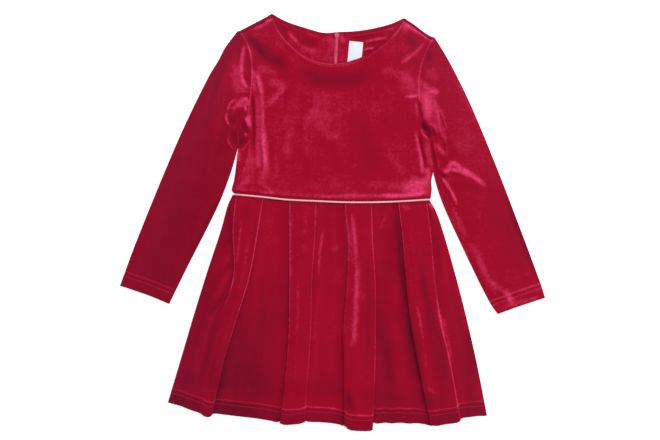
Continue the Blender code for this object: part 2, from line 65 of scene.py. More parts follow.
MM = 0.001
CLOTH = 1.1  # velvet with its pile
BODICE_CLOTH = 1.0
SEAM = 0.3  # between two pieces that are sewn together or lie on each other
LAYER = CLOTH + SEAM  # from one layer of cloth to the next
BACK_Z = CLOTH / 2  # the back lies on the table
FRONT_Z = BACK_Z + LAYER  # the front lies on the back
FOLD_R = LAYER / 2  # how tightly a sleeve's cloth turns over
FOLD_INSET = FOLD_R + CLOTH / 2  # from the outside of a fold to the middle of its turn
EDGE_ROUND = 0.42  # the rounding of a cloth's cut or folded edge
ROUNDED_FROM = math.radians(62)  # edges sharper than this are rounded
TURN_ANGLES = (30, 60, 90, 120, 150, 180)  # the rows that a turned edge adds round its turn
BAND_SHARES = (0.35, 0.7, 1.0)  # and back along its band

PIPING_R = 0.9
BACK_PIPING_R = 0.75
PIPING_LIFT = 1.4  # its middle, over where the front lies flat
PIPING_WAVE = 0.25  # how unevenly it lies
BACK_PIPING_SHORTER = 4.0  # at each end
SHOULDER_BOW = 1.0  # how far the right shoulder waves off a straight line, up beside the neck
WAIST_Z = 5.4  # the bodice climbs over the pleats sewn in below it
WAIST_CLIMB = 36.0  # above the waist seam
WAIST_SIDE = 13.0  # in from each side seam
WAIST_ROLL = 1.3  # the soft roll of cloth just above the piping
WAIST_ROLL_AT = 9.0
WAIST_ROLL_WIDTH = 5.5
WAIST_ROLL_ENDS = 0.06  # the share of the bodice over which it comes up from each side

SKIRT_Z = BACK_Z + 3 * LAYER  # the front skirt lies on the back skirt's three-layer folds
RECESS_SAG = 1.1
BOX_CROWN = 0.5
WAIST_PRESS = 0.1  # the share of the skirt over which its folds come free of the waist seam
PRESSED = (0.84, 0.97)  # the thickness of a front fold's layer at the waist and below, as shares
FOLD_SWELL = 0.12  # how much thicker the folds grow towards the hem, as a share
DIP_SHARE = 0.32  # the part of a span over which it sags
CLIMB_SHARE = 0.6  # the part of the skirt's side over which it climbs to its first fold
CORNER_SINK = 0.5  # how far a recess's hem corner sinks, as a share of its box's rise
SKIRT_LENGTH = 318.0
HEM_ROWS = (21.5, 15.0)  # the two stitch rows above the skirt's edge
CUFF_ROWS = (21.0, 14.8)
HEM_BAND = 4.0  # below its upper row, where the shade of the hem comes in
SLEEVE_TUCK = 2.3  # how far its end reaches into the armhole seam
SLEEVE_CAP = 14.0  # from its last straight ring to the armhole
SLEEVE_SINK = 0.2  # how far its front may lie below the level of the front
SLEEVE_LENGTHS = (237.0, 217.4)  # along the inner folds, from cuff to underarm
NECK_ROW = 6.6
SEW_DENT = 0.4  # how far a stitch row pulls the cloth in
SEW_DENT_WIDTH = 1.3

FRONT_HEIGHT = 210.0  # from waist to neck edge, for distances below the edge
BACK_HEIGHT = 240.0
BACK_WIDTH = 130.0
CHEST_LOFT = 1.3
SLEEVE_LOFT = 1.3
LOFT_EDGE = 0.2  # the share of a panel over which its loft comes up from an edge
UNDER_EDGE = 0.1  # the same for the back's troughs
INSIDE_RELIEF = 0.6  # of the inside's creases, which the front holds down
NECK_RAISE = 1.0  # the turned neck edge stands over the back
NECK_RAISE_WIDTH = 14.0
NECK_PULL = 9.0  # how far down the cloth draws in for its turned edge
NECK_TURN_R = 0.62
NECK_TURN = 6.5  # how far the turned edge runs back under the front
PLAIN_TURN_R = 0.3  # where an edge only rounds over
PLAIN_TURN = 0.4
BACK_NECK_R = 0.1  # wider than that, at the back neck and where the shoulders roll forward
BACK_SHOULDER_R = 0.65
BACK_SHOULDER_TURN = 1.8
BACK_TURN_DROPS = (0.25, 0.6, 1.0)  # how its turned-in band settles, row by row
SEAM_DIP = 0.35  # how far an edge drops into its seam
SEAM_DIP_WIDTH = 1.5
RIPPLE = 0.22  # the small unevenness of cloth that was smoothed by hand
SKIRT_RIPPLE = 0.18
SKIRT_RELIEF_ENDS = (1 / 30, 1 / 12)  # shares over which its creases come up from hem and waist

SLEEVE_PAINTED_SHADES = (-0.3, -0.03)  # painted shade over the whole left and right sleeve, most on the left, away from the light
# the whole skirt a little darker
SKIRT_TONE = -0.06
PIPING_SHADE = -0.8  # the line just below the piping
PIPING_SHADE_WIDTH = 1.9
WAIST_SHADE = -0.5  # and just above it
WAIST_SHADE_WIDTH = 2.4
SEAM_HIGHLIGHT = 0.45  # a painted highlight along a seam
SEAM_HIGHLIGHT_WIDTH = 1.3
UNDERARM_Y = 135.0  # below it the armhole seams are hidden in folds
UNDERARM_FADE = 30.0
RIM_SHADE = -0.08  # painted shade where the cloth turns away round an outer edge
RIM_SHADE_WIDTH = 1.6
# painted shade on the back's shoulder roll, seen beyond the front's shoulder
SHOULDER_ROLL_SHADE = -0.35
INNER_EDGE_DARKENING = -0.05  # a little darker on the back neck edge's turned-in band
ROLL_HIGHLIGHT = 0.27  # a painted highlight over the rolled neck edge
ROLL_HIGHLIGHT_WIDTH = 3.6
NECK_DIM = (64.0, 36.0)  # x where that edge turns away from the light, and how far to both sides
SEW_LINE_LIGHT = 0.34  # a painted highlight in the line that a stitch row presses
HEM_BAND_DARKENING = -0.3  # darker below the hem's stitch rows
CREVICE_PAINTED_LIGHTS = (0.5, 0.15)  # painted light thrown back into the crevice of a left and a right fold
CREVICE_WIDTH = 1.3
CREVICE_FROM = 0.06  # the share of the skirt over which it comes in below the waist
BACK_FOLD_LIGHT_AND_SHADE = (0.4, -0.2, 5.0)  # behind, a painted highlight on a fold and painted shade beside it, with the width of the latter

# Shares of an edge or panel.
NECK_SHARE = 4 / 24  # of the front's top edge, each shoulder
NECK_ENDS = 0.05  # over which the turned edge comes in beyond it
BACK_SHOULDER_SHARE = 3 / 8
BACK_NECK_ENDS = (0.08, 0.16)  # the same beyond it, and at the zip
BACK_SHOULDER_END = 0.06  # over which the shoulder's roll ends
SIDE_SHARE = 5 / 17  # of a bodice's height, the side seam below the armhole
SHOULDER_FROM = 11 / 12  # the last of the armhole, where the front stops short of the fold
FRONT_SHOULDER_END = 0.972
SLEEVE_EDGE_SHARE = 1 / 12  # of a sleeve's width, how far its fold's inset reaches

# Grid lines of a cloth as shares of the way across or up: (start, step) pairs, then the last line.
FRONT_COLUMNS = ((0, 1 / 260), (0.012, 1 / 180), (0.988, 1 / 260), 1.0)
FRONT_ROWS = ((0, 1 / 230), (0.05, 1 / 150), (0.94, 1 / 230), 1.0)
BACK_COLUMNS = ((0, 1 / 70), 1.0)
BACK_ROWS = ((0, 1 / 110), (0.86, 1 / 180), 1.0)
SLEEVE_COLUMNS = ((0, 1 / 90), (0.1, 1 / 46), (0.9, 1 / 90), 1.0)
STITCHED = 26.0  # of a hem or cuff, where the rows are close together
CUFF_STEP, SLEEVE_STEP = 1.3, 2.1
HEM_STEP, SKIRT_STEP, BACK_SKIRT_STEP = 1.5, 3.0, 4.4
CAP_STEPS = 10  # from a sleeve's last ring to the armhole
FOLD_STEPS = 9  # round a sleeve's fold
SIDE_STEPS = 22  # across the skirt from a side seam to its first fold
SPAN_STEPS = 30  # across each of its boxes and recesses
DEEP_STEPS, SHOWN_STEPS = 5, 8  # round the skirt's hidden and its shown folds

Thread = namedtuple("Thread", "pitch length radius lift")
SEWING = Thread(2.7, 2.25, 0.24, CLOTH / 2 - 0.08)
LABEL_SEWING = Thread(1.6, 1.2, 0.14, 0.2)
STITCH_SEGMENTS, COIL_SEGMENTS = (6, 4), (10, 7)  # round a bead and along it

ZIP_WIDTH = 5.0
ZIP_Z = 1.75  # the middle of its tape
ZIP_TAPE = 0.55
ZIP_TAPE_ROUND = 0.12
ZIP_WAVE = 0.16
ZIP_SLOPE = 0.25  # how far the tape's edges lie below its middle
ZIP_SHARES = (0.164, 0.9732)  # of the centre back, from the waist up
COIL = (1.35, 0.62, 0.42)  # half a coil's turn across, its half width and half height
COIL_PITCH = 1.3
COIL_SLANT = 0.14
COIL_SWAY = 0.25  # each turn's middle, to the left and right by turns
COIL_LIFT = 0.2
SLIDER_AT = (6.4, 262.2)
SLIDER_PLATE = (0.55, 0.7)  # the lower and upper plate's thickness
SLIDER_BEVEL = 0.24
SLIDER_Z = (1.45, 3.2)
SLIDER_POST_INTO = 0.2  # how far its post reaches into both plates

LABEL_SIZE = (19.5, 34.0)
LABEL_AT = (32.0, 236.5)
LABEL_TURN = math.radians(-5.5)
LABEL_Z = 1.72
LABEL_THICK = 0.32
LABEL_ROUND = 0.1
LABEL_BOW = 0.55
LABEL_SEWN = 12.0  # how far down from its sewn edge it comes free
LABEL_WAVE = 0.08
LABEL_EDGE = 1.9  # the woven border
LABEL_EDGE_BLUR = 0.5
LABEL_ROW = 1.3  # its stitches, below its top edge

# The stage, in metres.
FLOOR_SIZE, FLOOR_Z = 4.0, -0.0004
LENS, SENSOR, CLIP_END = 85, 36, 20
VIEW_WIDTH, VIEW_LEVEL = 0.924, 0.004  # how wide the camera sees at a height
CAMERA_AT = (-0.0032, 0.0034)
WORLD_LIGHT, KEY_LIGHT = 0.62, 2.0
KEY_SOFT = math.radians(50)
KEY_TURN = (math.radians(-21), math.radians(32), 0)

Point = namedtuple("Point", "name x y z")
Fold = namedtuple(
    "Fold", "name waist down5 down16 down36 down55 down75 hem deep_waist deep_hem recess_hem box_hem"
)
FoldLight = namedtuple("FoldLight", "name waist middle hem beside_waist beside_middle beside_hem width")
Cut = namedtuple("Cut", "name width length area held rests_on sewn")
Corner = namedtuple("Corner", "name rise reach")
Crease = namedtuple("Crease", "name x0 y0 x1 y1 bow width height nap sharp", defaults=(0.0,))


def table(kind, *rows):
    """Rows of a kind, each with its values in the order of the kind's columns."""
    return tuple(kind(*row) for row in rows)


# The waist seam, along the middle of its piping.
WAIST = table(
    Point,
    ("left side seam", -137.4, 39.5, 0),
    ("left pleat", -98.3, 35.8, 0),
    ("second pleat", -63.0, 32.0, 0),
    ("inner pleat", -19.7, 29.9, 0),
    ("middle", 16.0, 28.4, 0),
    ("third pleat", 55.4, 28.3, 0),
    ("fourth pleat", 92.3, 29.4, 0),
    ("right side seam", 137.6, 32.2, 0),
)
SIDE_LEFT = table(
    Point,
    ("waist", -137.8, 40.6, FRONT_Z),
    ("over the waist", -140.8, 45.6, FRONT_Z),
    ("ribs", -137.4, 59.6, FRONT_Z),
    ("underarm", -132.0, 102.8, FRONT_Z),
)
SIDE_RIGHT = table(
    Point,
    ("waist", 137.8, 33.4, FRONT_Z),
    ("over the waist", 139.4, 47.0, FRONT_Z),
    ("ribs", 138.6, 57.0, FRONT_Z),
    ("underarm", 141.0, 69.2, FRONT_Z),
)
ARMHOLE_LEFT = table(
    Point,
    ("underarm", -132.0, 102.8, FRONT_Z),
    ("low notch", -124.4, 117.0, 2.3),
    ("lower", -119.6, 147.6, 2.8),
    ("chest", -114.4, 185.0, 3.2),
    ("upper", -113.0, 219.0, 3.2),
    ("cap", -117.8, 246.0, 2.8),
    ("shoulder", -130.2, 268.4, 2.2),
)
ARMHOLE_RIGHT = table(
    Point,
    ("underarm", 141.0, 69.2, FRONT_Z),
    ("low notch", 138.4, 104.2, 2.3),
    ("lower", 128.6, 132.0, 2.8),
    ("chest", 123.4, 166.0, 3.2),
    ("upper", 121.8, 200.0, 3.2),
    ("cap", 128.4, 230.2, 2.8),
    ("shoulder", 141.8, 259.2, 2.2),
)
NECK_FRONT = table(
    Point,
    ("left shoulder point", -84.1, 286.4, 2.2),
    ("left side", -77.7, 272.0, 2.6),
    ("left slope", -63.8, 253.8, 3.0),
    ("left turn", -36.0, 231.2, 3.4),
    ("lowest", 1.0, 222.4, 3.5),
    ("right turn", 38.0, 230.2, 3.5),
    ("right slope", 62.0, 243.8, 3.2),
    ("right side", 86.0, 264.2, 2.6),
    ("right shoulder point", 100.2, 281.7, 2.2),
)
NECK_BACK_LEFT = table(
    Point,
    ("shoulder point", -84.6, 292.0, BACK_Z),
    ("slope", -62.0, 280.9, BACK_Z),
    ("turn", -33.0, 271.4, BACK_Z),
    ("low", -16.0, 266.6, BACK_Z),
    ("lowest", -6.0, 265.4, BACK_Z),
    ("centre back", 6.4, 266.0, BACK_Z),
)
NECK_BACK_RIGHT = table(
    Point,
    ("shoulder point", 100.4, 285.8, BACK_Z),
    ("slope", 76.6, 276.8, BACK_Z),
    ("turn", 45.0, 269.9, BACK_Z),
    ("centre back", 6.4, 266.0, BACK_Z),
)
CENTRE_BACK = table(
    Point,
    ("waist", -0.4, 30.4, BACK_Z),
    ("middle", 1.0, 143.4, BACK_Z),
    ("neck", 6.4, 266.0, BACK_Z),
)
SLEEVE_LEFT = {
    "inner": table(
        Point,
        ("cuff", -228.4, -114.4, FRONT_Z),
        ("wrist", -205.6, -67.6, FRONT_Z),
        ("elbow", -160.9, 21.6, FRONT_Z),
        ("upper arm", -142.8, 68.4, FRONT_Z),
        ("underarm", -132.9, 103.0, FRONT_Z),
    ),
    "outer": table(
        Point,
        ("cuff", -297.6, -88.6, FRONT_Z),
        ("wrist", -273.9, -24.6, FRONT_Z),
        ("elbow", -230.4, 81.8, FRONT_Z),
        ("biceps", -203.2, 143.4, FRONT_Z),
        ("upper arm", -171.2, 207.8, FRONT_Z),
        ("cap", -158.6, 228.2, FRONT_Z),
        ("head", -150.2, 244.6, FRONT_Z),
        ("shoulder", -132.4, 268.4, FRONT_Z),
    ),
    "cuff": table(
        Point,
        ("inner", -228.4, -114.4, FRONT_Z),
        ("middle", -255.5, -103.0, 2.6),
        ("outer", -297.6, -88.6, FRONT_Z),
    ),
}
SLEEVE_RIGHT = {
    "inner": table(
        Point,
        ("cuff", 232.0, -128.4, FRONT_Z),
        ("over the cuff", 222.3, -114.8, FRONT_Z),
        ("wrist", 205.7, -83.2, FRONT_Z),
        ("elbow", 177.8, -24.6, FRONT_Z),
        ("upper arm", 157.0, 21.3, FRONT_Z),
        ("biceps", 147.5, 48.2, FRONT_Z),
        ("underarm", 142.0, 69.4, FRONT_Z),
    ),
    "outer": table(
        Point,
        ("cuff", 298.4, -105.6, FRONT_Z),
        ("wrist", 292.2, -86.0, FRONT_Z),
        ("forearm", 266.4, -16.2, FRONT_Z),
        ("elbow", 233.6, 69.2, FRONT_Z),
        ("biceps", 203.2, 143.4, FRONT_Z),
        ("upper arm", 185.2, 183.4, FRONT_Z),
        ("head", 162.4, 227.8, FRONT_Z),
        ("shoulder", 142.8, 260.0, FRONT_Z),
    ),
    "cuff": table(
        Point,
        ("inner", 232.0, -128.4, FRONT_Z),
        ("middle", 262.0, -117.5, 2.6),
        ("outer", 298.4, -105.6, FRONT_Z),
    ),
}

# The slider's plates seen from above, half of each outline, from its head to its tail.
SLIDER_HALF = (
    (0.0, 3.0), (1.5, 3.0), (2.9, 2.5), (3.5, 1.2),
    (3.3, -0.2), (2.5, -1.6), (2.2, -3.0), (0.0, -3.0),
)
SLIDER_POST = ((0.0, 2.2), (0.9, 1.4), (0.8, 0.4), (0.0, -0.8))

# The skirt's side seams and the folds of its four box pleats: x at the waist, at six distances
# down the skirt as a share of its length, how deep the cloth turns under, and y of both hems.
STATIONS = (0.0, 0.05, 0.16, 0.36, 0.55, 0.75, 1.0)
SIDE_SEAM_LEFT = Fold(
    "left side seam", -139.4, -146.2, -155.0, -174.2, -191.4, -208.6, -230.2, 0, 0, -252.2, -252.2
)
FOLDS = table(
    Fold,
    ("pleat 1 left", -134.6, -137.0, -139.6, -138.4, -153.8, -169.1, -183.8, 15, 4, -262.4, -269.2),
    ("pleat 1 right", -96.2, -98.6, -103.9, -115.4, -132.9, -151.6, -168.8, 16, 6, -267.8, -271.2),
    ("pleat 2 left", -60.3, -60.2, -59.9, -60.2, -60.9, -64.6, -73.6, 16, 7, -278.6, -283.8),
    ("pleat 2 right", -21.8, -22.5, -23.8, -27.9, -29.1, -32.8, -38.2, 16, 8, -278.2, -280.2),
    ("pleat 3 left", 16.4, 18.3, 22.2, 20.4, 15.6, 15.6, 16.4, 16, 8, -282.0, -289.6),
    ("pleat 3 right", 55.4, 56.0, 57.0, 60.9, 61.0, 60.2, 56.7, 16, 8, -281.6, -292.6),
    ("pleat 4 left", 91.6, 93.7, 98.0, 102.8, 109.8, 121.2, 137.2, 16, 7, -282.9, -286.0),
    ("pleat 4 right", 132.0, 134.2, 138.6, 144.0, 152.6, 166.4, 180.0, 15, 7, -276.4, -280.0),
)
SIDE_SEAM_RIGHT = Fold(
    "right side seam", 136.0, 145.0, 156.4, 173.6, 188.2, 202.0, 216.8, 0, 0, -269.2, -269.2
)

# How far the hem rises above a straight line between two folds: x and the rise, along the dress.
HEM_LINE = (
    (-227, 0.0), (-211, 1.1), (-200, 0.1), (-184, 1.4), (-179, -1.0), (-172, -1.5), (-165, 0.8),
    (-154, 0.7), (-134, 0.5), (-106, 0.5), (-95, -0.1), (-85, -0.6), (-78, -1.4), (-72, 1.4),
    (-66, 0.0), (-46, -0.6), (-39, 0.4), (-32, -0.6), (-17, 0.0), (3, -0.6), (12, -1.5),
    (15, -1.5), (18, 2.4), (22, 0.9), (28, -0.3), (45, 0.0), (52, 0.7), (57, 1.7), (63, 0.1),
    (74, 1.4), (83, 0.6), (95, 1.7), (107, 0.7), (118, 1.4), (130, 0.3), (136, -0.7),
    (140, 1.1), (147, 0.4), (158, 1.0), (175, 0.6), (181, 2.2), (193, 1.5), (205, 0.4), (214, -1.4),
)

# How far each fold's corner rises at the hem, and over what length: the box's corner rises and the
# cloth beside it sinks half as far.
HEM_CORNERS = table(
    Corner,
    ("pleat 1 left", 0.0, 1.0),
    ("pleat 1 right", 1.6, 2.5),
    ("pleat 2 left", 1.4, 3.2),
    ("pleat 2 right", 0.5, 2.5),
    ("pleat 3 left", 3.0, 3.5),
    ("pleat 3 right", 0.9, 2.0),
    ("pleat 4 left", 1.1, 4.0),
    ("pleat 4 right", 1.4, 2.5),
)
# The painted highlight along each of those folds, at the waist, half way down and at the hem, and
# the painted shade beside it on the cloth that goes under it, fading over a width.
FOLD_LIGHT_AND_SHADE = table(
    FoldLight,
    ("pleat 1 left", 0.35, 0.4, 0.0, -0.2, -0.3, 0.0, 5.0),
    ("pleat 1 right", 0.3, 0.45, 0.25, -0.05, -0.25, -0.35, 7.0),
    ("pleat 2 left", 0.45, 0.35, 0.05, -0.05, -0.28, -0.35, 6.5),
    ("pleat 2 right", 0.2, 0.2, 0.1, 0.0, -0.05, -0.05, 4.0),
    ("pleat 3 left", 0.3, 0.1, 0.0, -0.1, -0.28, -0.4, 6.5),
    ("pleat 3 right", 0.25, 0.3, 0.2, -0.1, -0.1, -0.1, 4.0),
    ("pleat 4 left", 0.5, 0.05, 0.0, -0.15, -0.4, -0.2, 8.0),
    ("pleat 4 right", 0.2, 0.25, 0.55, -0.3, -0.1, 0.0, 4.0),
)
# The first pleat's left fold opens out on its way down, from one share to another, over a run.
FIRST_OPENS = (0.40, 0.58)
OPEN_RUN = 15.0

# Creases and brushed pile, with painted light and shade: where each runs, how far its middle bows
# aside, its width, its height, over 0 for a ridge and under it for a trough, how much lighter it
# paints the cloth along it, for brushed pile and painted highlights, or how much darker under 0, for
# painted shade, and how much narrower it is on one side: over 0 on its right hand seen along it,
# under 0 on its left.
BODICE_CREASES = table(
    Crease,
    ("right neck point", 98, 281, 106, 268, -0.4, 4.8, 0.3, 0.34),
    ("right neck side", 96, 278, 82, 258, -1.7, 2.5, 0.3, 0.24),
    ("right neck glow", 68, 215, 89, 213, 1.4, 3.6, 0.2, 0.1),
    ("right shoulder seam shine", 99, 280, 138, 257, 0.8, 2.1, 0.4, 0.6),
    ("right shoulder point light", 128, 264, 142, 254, -0.6, 2.8, 0.1, 0.9),
    ("right shoulder shade", 102, 261, 121, 247, 0.8, 7, -0.1, -0.38),
    ("right shoulder shade low", 96, 218, 123, 227, 0.9, 3.9, -0.1, -0.1),
    ("left neck point", -94.2, 279.9, -84.4, 285.5, -0.3, 2.8, 0.3, 0.6),
    ("left neck band", -82, 274, -58, 241, 1.3, 2.2, 0.3, 0),
    ("left shoulder shine", -112, 270, -90, 280, 0.4, 1.8, 0.5, 0.35),
    ("left shoulder hollow", -121, 264, -93, 236, 2, 5, -0.6, -0.68),
    ("left shoulder slope", -112, 260, -80, 240, 1.1, 2.8, 0.4, -0.22),
    ("left shoulder hollow low", -104, 239, -62, 218, 0, 8.4, -0.3, -0.51),
    ("right chest diagonal", 130, 253, 95, 220, -1.3, 2.4, 0.5, 0.3),
    ("right chest diagonal foot", 110, 236, 95, 222, -0.3, 2.8, 0.3, 0.15),
    ("right chest glow", 95, 211, 114, 180, -3.1, 9.1, 0.4, 0.26),
    ("right chest short ridge", 102, 176, 121, 178, 1.3, 2.5, 0.6, 0.56, 0.5),
    ("right chest ridge", 116, 170, 119, 145, -0.1, 1.8, 0.9, 0.22),
    ("chest middle shade", -40, 227, -20, 197, 0.4, 14, 0, -0.09),
    ("chest middle light", -45, 183, 14, 171, 5.8, 8.4, 0, 0.1),
    ("left chest upper glow", -104, 219, -80, 202, -3.5, 7, 0.3, 0.16),
    ("left chest ridge top", -109, 212, -99, 176, -1.3, 3.6, 2, 0.6, 0.3),
    ("left chest slope glow", -91, 199, -63, 194, 2, 5.6, 0.2, 0.24),
    ("left chest ridge", -100, 183, -98, 124, -0.9, 2.7, 2, 0.3, 0.2),
    ("left chest glow", -107, 183, -103, 101, -1, 5.6, 0.5, 0.22),
    ("left chest trough", -113, 183, -112, 101, -2.2, 2.1, -1.8, -0.72),
    ("left chest slope", -93, 160, -62, 194, 0.9, 5, 0.4, 0.28, 0.5),
    ("left chest ridge low", -98, 132, -94, 71, 0, 4.5, 2, 0.64, 0.5),
    ("left chest upright", -59, 132, -63, 90, 1.5, 4.2, 0.2, 0.13),
    ("left chest ridge foot", -94, 79, -103, 51, -1.3, 4.9, 1, 0.12),
    ("chest upper right shade", 61, 211, 81, 183, -2.8, 11.2, 0, -0.09),
    ("under neck shade", -51, 211, 64, 213, 12.6, 10.5, -0.3, -0.38),
    ("chest wide light", -45, 174, 16, 115, -6.9, 19.6, 0.1, 0.02),
    ("right armhole shade", 121, 174, 126, 141, 0.3, 1.7, -1, -0.75),
    ("left armhole line", -115, 173, -113, 118, -1.4, 1.1, 0.6, 0.12),
    ("middle chest glow", -56, 163, 28, 155, 12.5, 19.6, 0.2, 0.06),
    ("middle chest patch", -41, 132, -20, 160, -1.7, 4.9, 0.2, 0.14),
    ("middle chest low patch", -14, 121, 12, 120, -1.4, 3.6, 0.1, 0.11),
    ("chest right shade", 56, 160, 78, 115, -3.8, 8.4, 0, -0.06),
    ("belly shade", 28, 149, 56, 71, -9.8, 15.4, -0.2, -0.13),
    ("right side ridge", 115, 129, 126, 76, -1, 2.8, 2.2, 0.48),
    ("right side trough", 121, 124, 132, 76, 0.6, 1.7, -1.5, -0.72),
    ("right side edge", 135, 117, 141, 71, 0.8, 1.1, 0.8, 0.26),
    ("right side second ridge", 131, 115, 136, 80, 0.3, 2.2, 0.8, 0.24),
    ("right side mid light", 124, 90, 128, 66, 0.6, 2.8, 0.1, 0.4),
    ("right side foot", 133, 76, 135, 59, 0, 3.4, 0, 0.5),
    ("left side fold", -113, 118, -127, 66, -1.8, 1.4, 1.2, 0.12),
    ("left side valley light", -104, 113, -104, 75, -0.7, 3.4, 0, 0.35),
    ("left side glow", -114, 99, -125, 62, -2.7, 6.2, 0.5, 0.2),
    ("belly middle shade", -6, 115, 5, 65, -2.7, 8.4, 0, -0.1),
    ("belly right shade", 47, 115, 56, 59, -4.2, 11.2, 0, -0.09),
    ("belly right slanting light", 75, 99, 110, 54, -3.2, 5.6, 0.1, 0.1),
    ("belly right low shade", 74, 80, 84, 57, -1.5, 8.4, -0.1, -0.1),
    ("belly left shade", -51, 104, -31, 66, -2.2, 7, 0, -0.1),
    ("left underarm side light", -132, 103, -132, 83, -0.7, 3.1, 0.1, 0.24),
    ("left rib light", -79, 99, -79, 62, -1.4, 4.2, 0, 0.1),
    ("left waist glow", -115, 65, -135, 45, -1, 4.9, 0.3, 0.24),
    ("left waist streak", -98, 54, -83, 41, -0.1, 2.2, 0.6, 0.25),
    ("left waist low light", -103, 43, -80, 41, 0.3, 2, 0.1, 0.35),
    ("waist left hollow shade", -130, 54, -112, 50, 1.3, 2.8, -0.1, -0.1),
    ("waist left seam light", -138, 47, -98, 45, 0.9, 1.4, 0.1, 0.12),
    ("waist right upper light", 39, 51, 100, 45, -5.4, 5.6, 0, 0.1),
    ("right waist glow", 95, 45, 128, 59, -1.3, 6.3, 0.5, 0.45),
    ("right waist bulge", 100, 44, 137, 65, 7.8, 6.4, 0.8, 0.4),
    ("waist roll left", -80, 41, 5, 36, 0.8, 2.5, 0.5, 0.12),
    ("waist roll middle", 8, 37, 89, 38, 0.3, 2.8, 0.6, 0.28),
    ("waist roll right", 67, 37, 137, 43, 2.3, 2.8, 0.8, 0.68),
    ("waist roll middle left", -20, 36, 19, 37, 0.3, 2.2, 0.1, 0.25),
)
LEFT_SLEEVE_CREASES = table(
    Crease,
    ("left head streak", -122, 253, -127, 204, 1.9, 3.1, 1.3, 0.75),
    ("left head seam glow", -121, 251, -115, 225, -2, 1.8, 0.4, 0.24),
    ("left head glow", -133, 247, -140, 197, 1.1, 5.6, 0.3, 0.16),
    ("left head hollow", -121, 233, -117, 197, -0.2, 3.1, -0.3, 0.22),
    ("left head wide light", -135, 227, -129, 166, -0.3, 8.4, 0.1, 0.45),
    ("left head wide glow", -145, 225, -140, 164, 0.6, 8.4, 0, 0.14),
    ("left head inner light", -113, 219, -107, 180, 0.3, 2.2, 0.1, 0.35),
    ("left head streak foot", -127, 208, -116, 187, 3, 2.5, 1, 0.8),
    ("left head foot light", -129, 188, -115, 183, 0, 2.2, 0.1, 0.35),
    ("left head trough", -127.8, 185.4, -115.9, 178.4, 0.4, 2.8, -0.9, 0.08),
    ("left arm outer light", -154, 241, -181, 194, 1.3, 4.9, 0, 0.11),
    ("left sleeve streak", -136, 239, -167, 162, 2.1, 2.2, 0.4, 0.05),
    ("left sleeve fan one", -139, 234, -165, 157, 0.1, 3.6, 0.2, 0.1),
    ("left sleeve fan four", -164, 211, -181, 146, 1.4, 3.1, 0.2, 0.04),
    ("left sleeve fan shade", -156, 211, -177, 132, 2.6, 3.6, -0.1, -0.12),
    ("left sleeve fan two", -145, 199, -168, 113, -0.1, 2.5, 0.2, 0.18),
    ("left sleeve line", -154, 171, -168, 107, -3.7, 1.4, 0.5, 0.1),
    ("left sleeve outer edge light", -199, 148, -265, -9, 1.4, 3.4, 0.1, 0.05),
    ("left sleeve fan three", -161, 132, -175, 73, 1.7, 3.1, 0.2, 0),
    ("left sleeve inner edge shade", -149, 48, -202, -58, 0.9, 3.6, -0.1, -0.22),
    ("left pit patch head", -127.1, 174.4, -116.9, 169.3, -2.4, 2.8, 0.8, 1, -0.5),
    ("left pit fold", -118, 167.2, -120.8, 154.6, 2.1, 1.7, 0.8, 0.95),
    ("left pit patch", -139, 163, -119, 169, -1.7, 5.9, 1.6, 0.7, -0.5),
    ("left pit second patch", -117, 152, -114, 131, 0.7, 3.6, 1.4, 0.45, -0.4),
    ("left pit second patch inner", -122.2, 149, -117.3, 136.4, -0.1, 2.2, 0.6, 0.75),
    ("left hook upper", -133, 173, -147, 155, 4.3, 1.8, 1.5, 0.62),
    ("left hook top light", -149, 159, -121, 160, -1.4, 3.1, 0.1, 0.45),
    ("left hook middle", -147, 156, -141, 133, 4.3, 1.8, 1.6, 0.9),
    ("left hook ceiling", -143.2, 153.9, -132, 154.6, -1, 2.2, -0.8, 0.32),
    ("left hook hollow", -140, 153, -138, 134, 1, 4.8, -1.4, -0.1),
    ("left hook fold", -132, 151, -139, 127, -0.2, 1.1, 0.8, 0.32),
    ("left hook lower hollow", -140, 131, -134, 106, 1.4, 3.9, -0.8, -0.25),
    ("left hook lower", -146, 124, -136, 102, 4.4, 1.7, 1.2, 0.61),
    ("left pucker upper", -120.5, 163.2, -118.3, 160.7, 0.1, 1, -0.6, -0.35),
    ("left pucker lower", -121.4, 151.8, -118.6, 150.4, 0.4, 1, -0.6, -0.15),
    ("left underarm shade", -146, 146, -160, 90, -1.4, 5.6, 0, -0.08),
    ("left pocket", -127, 138, -118, 125, -1.3, 3.1, -1.6, -0.55),
    ("left pocket edge", -132, 134, -132, 104, -0.3, 1, 0.7, 0.36),
    ("left pocket side", -129, 132, -129, 110, -0.6, 2.5, -1, -0.22),
    ("left pocket spot", -125, 124.3, -119, 122.4, 0.1, 1.7, 0.4, 0.6),
    ("left pocket lip", -114, 117, -129, 99, -0.2, 1.5, 1, 0.2),
    ("left pocket low", -130, 107, -119, 117, -1.6, 3.4, -1.5, -0.5),
    ("left elbow streak", -168, 107, -181, 57, -0.7, 2.8, 0.5, 0.02),
    ("left forearm shade", -164, 101, -283, -221, 12.3, 36.4, 0, -0.13),
    ("left wrist upper shade", -255, -55, -278, -88, -1.2, 7, 0, -0.04),
    ("left wrist shade", -219, -74, -241, -97, -1.5, 7, 0, -0.04),
)
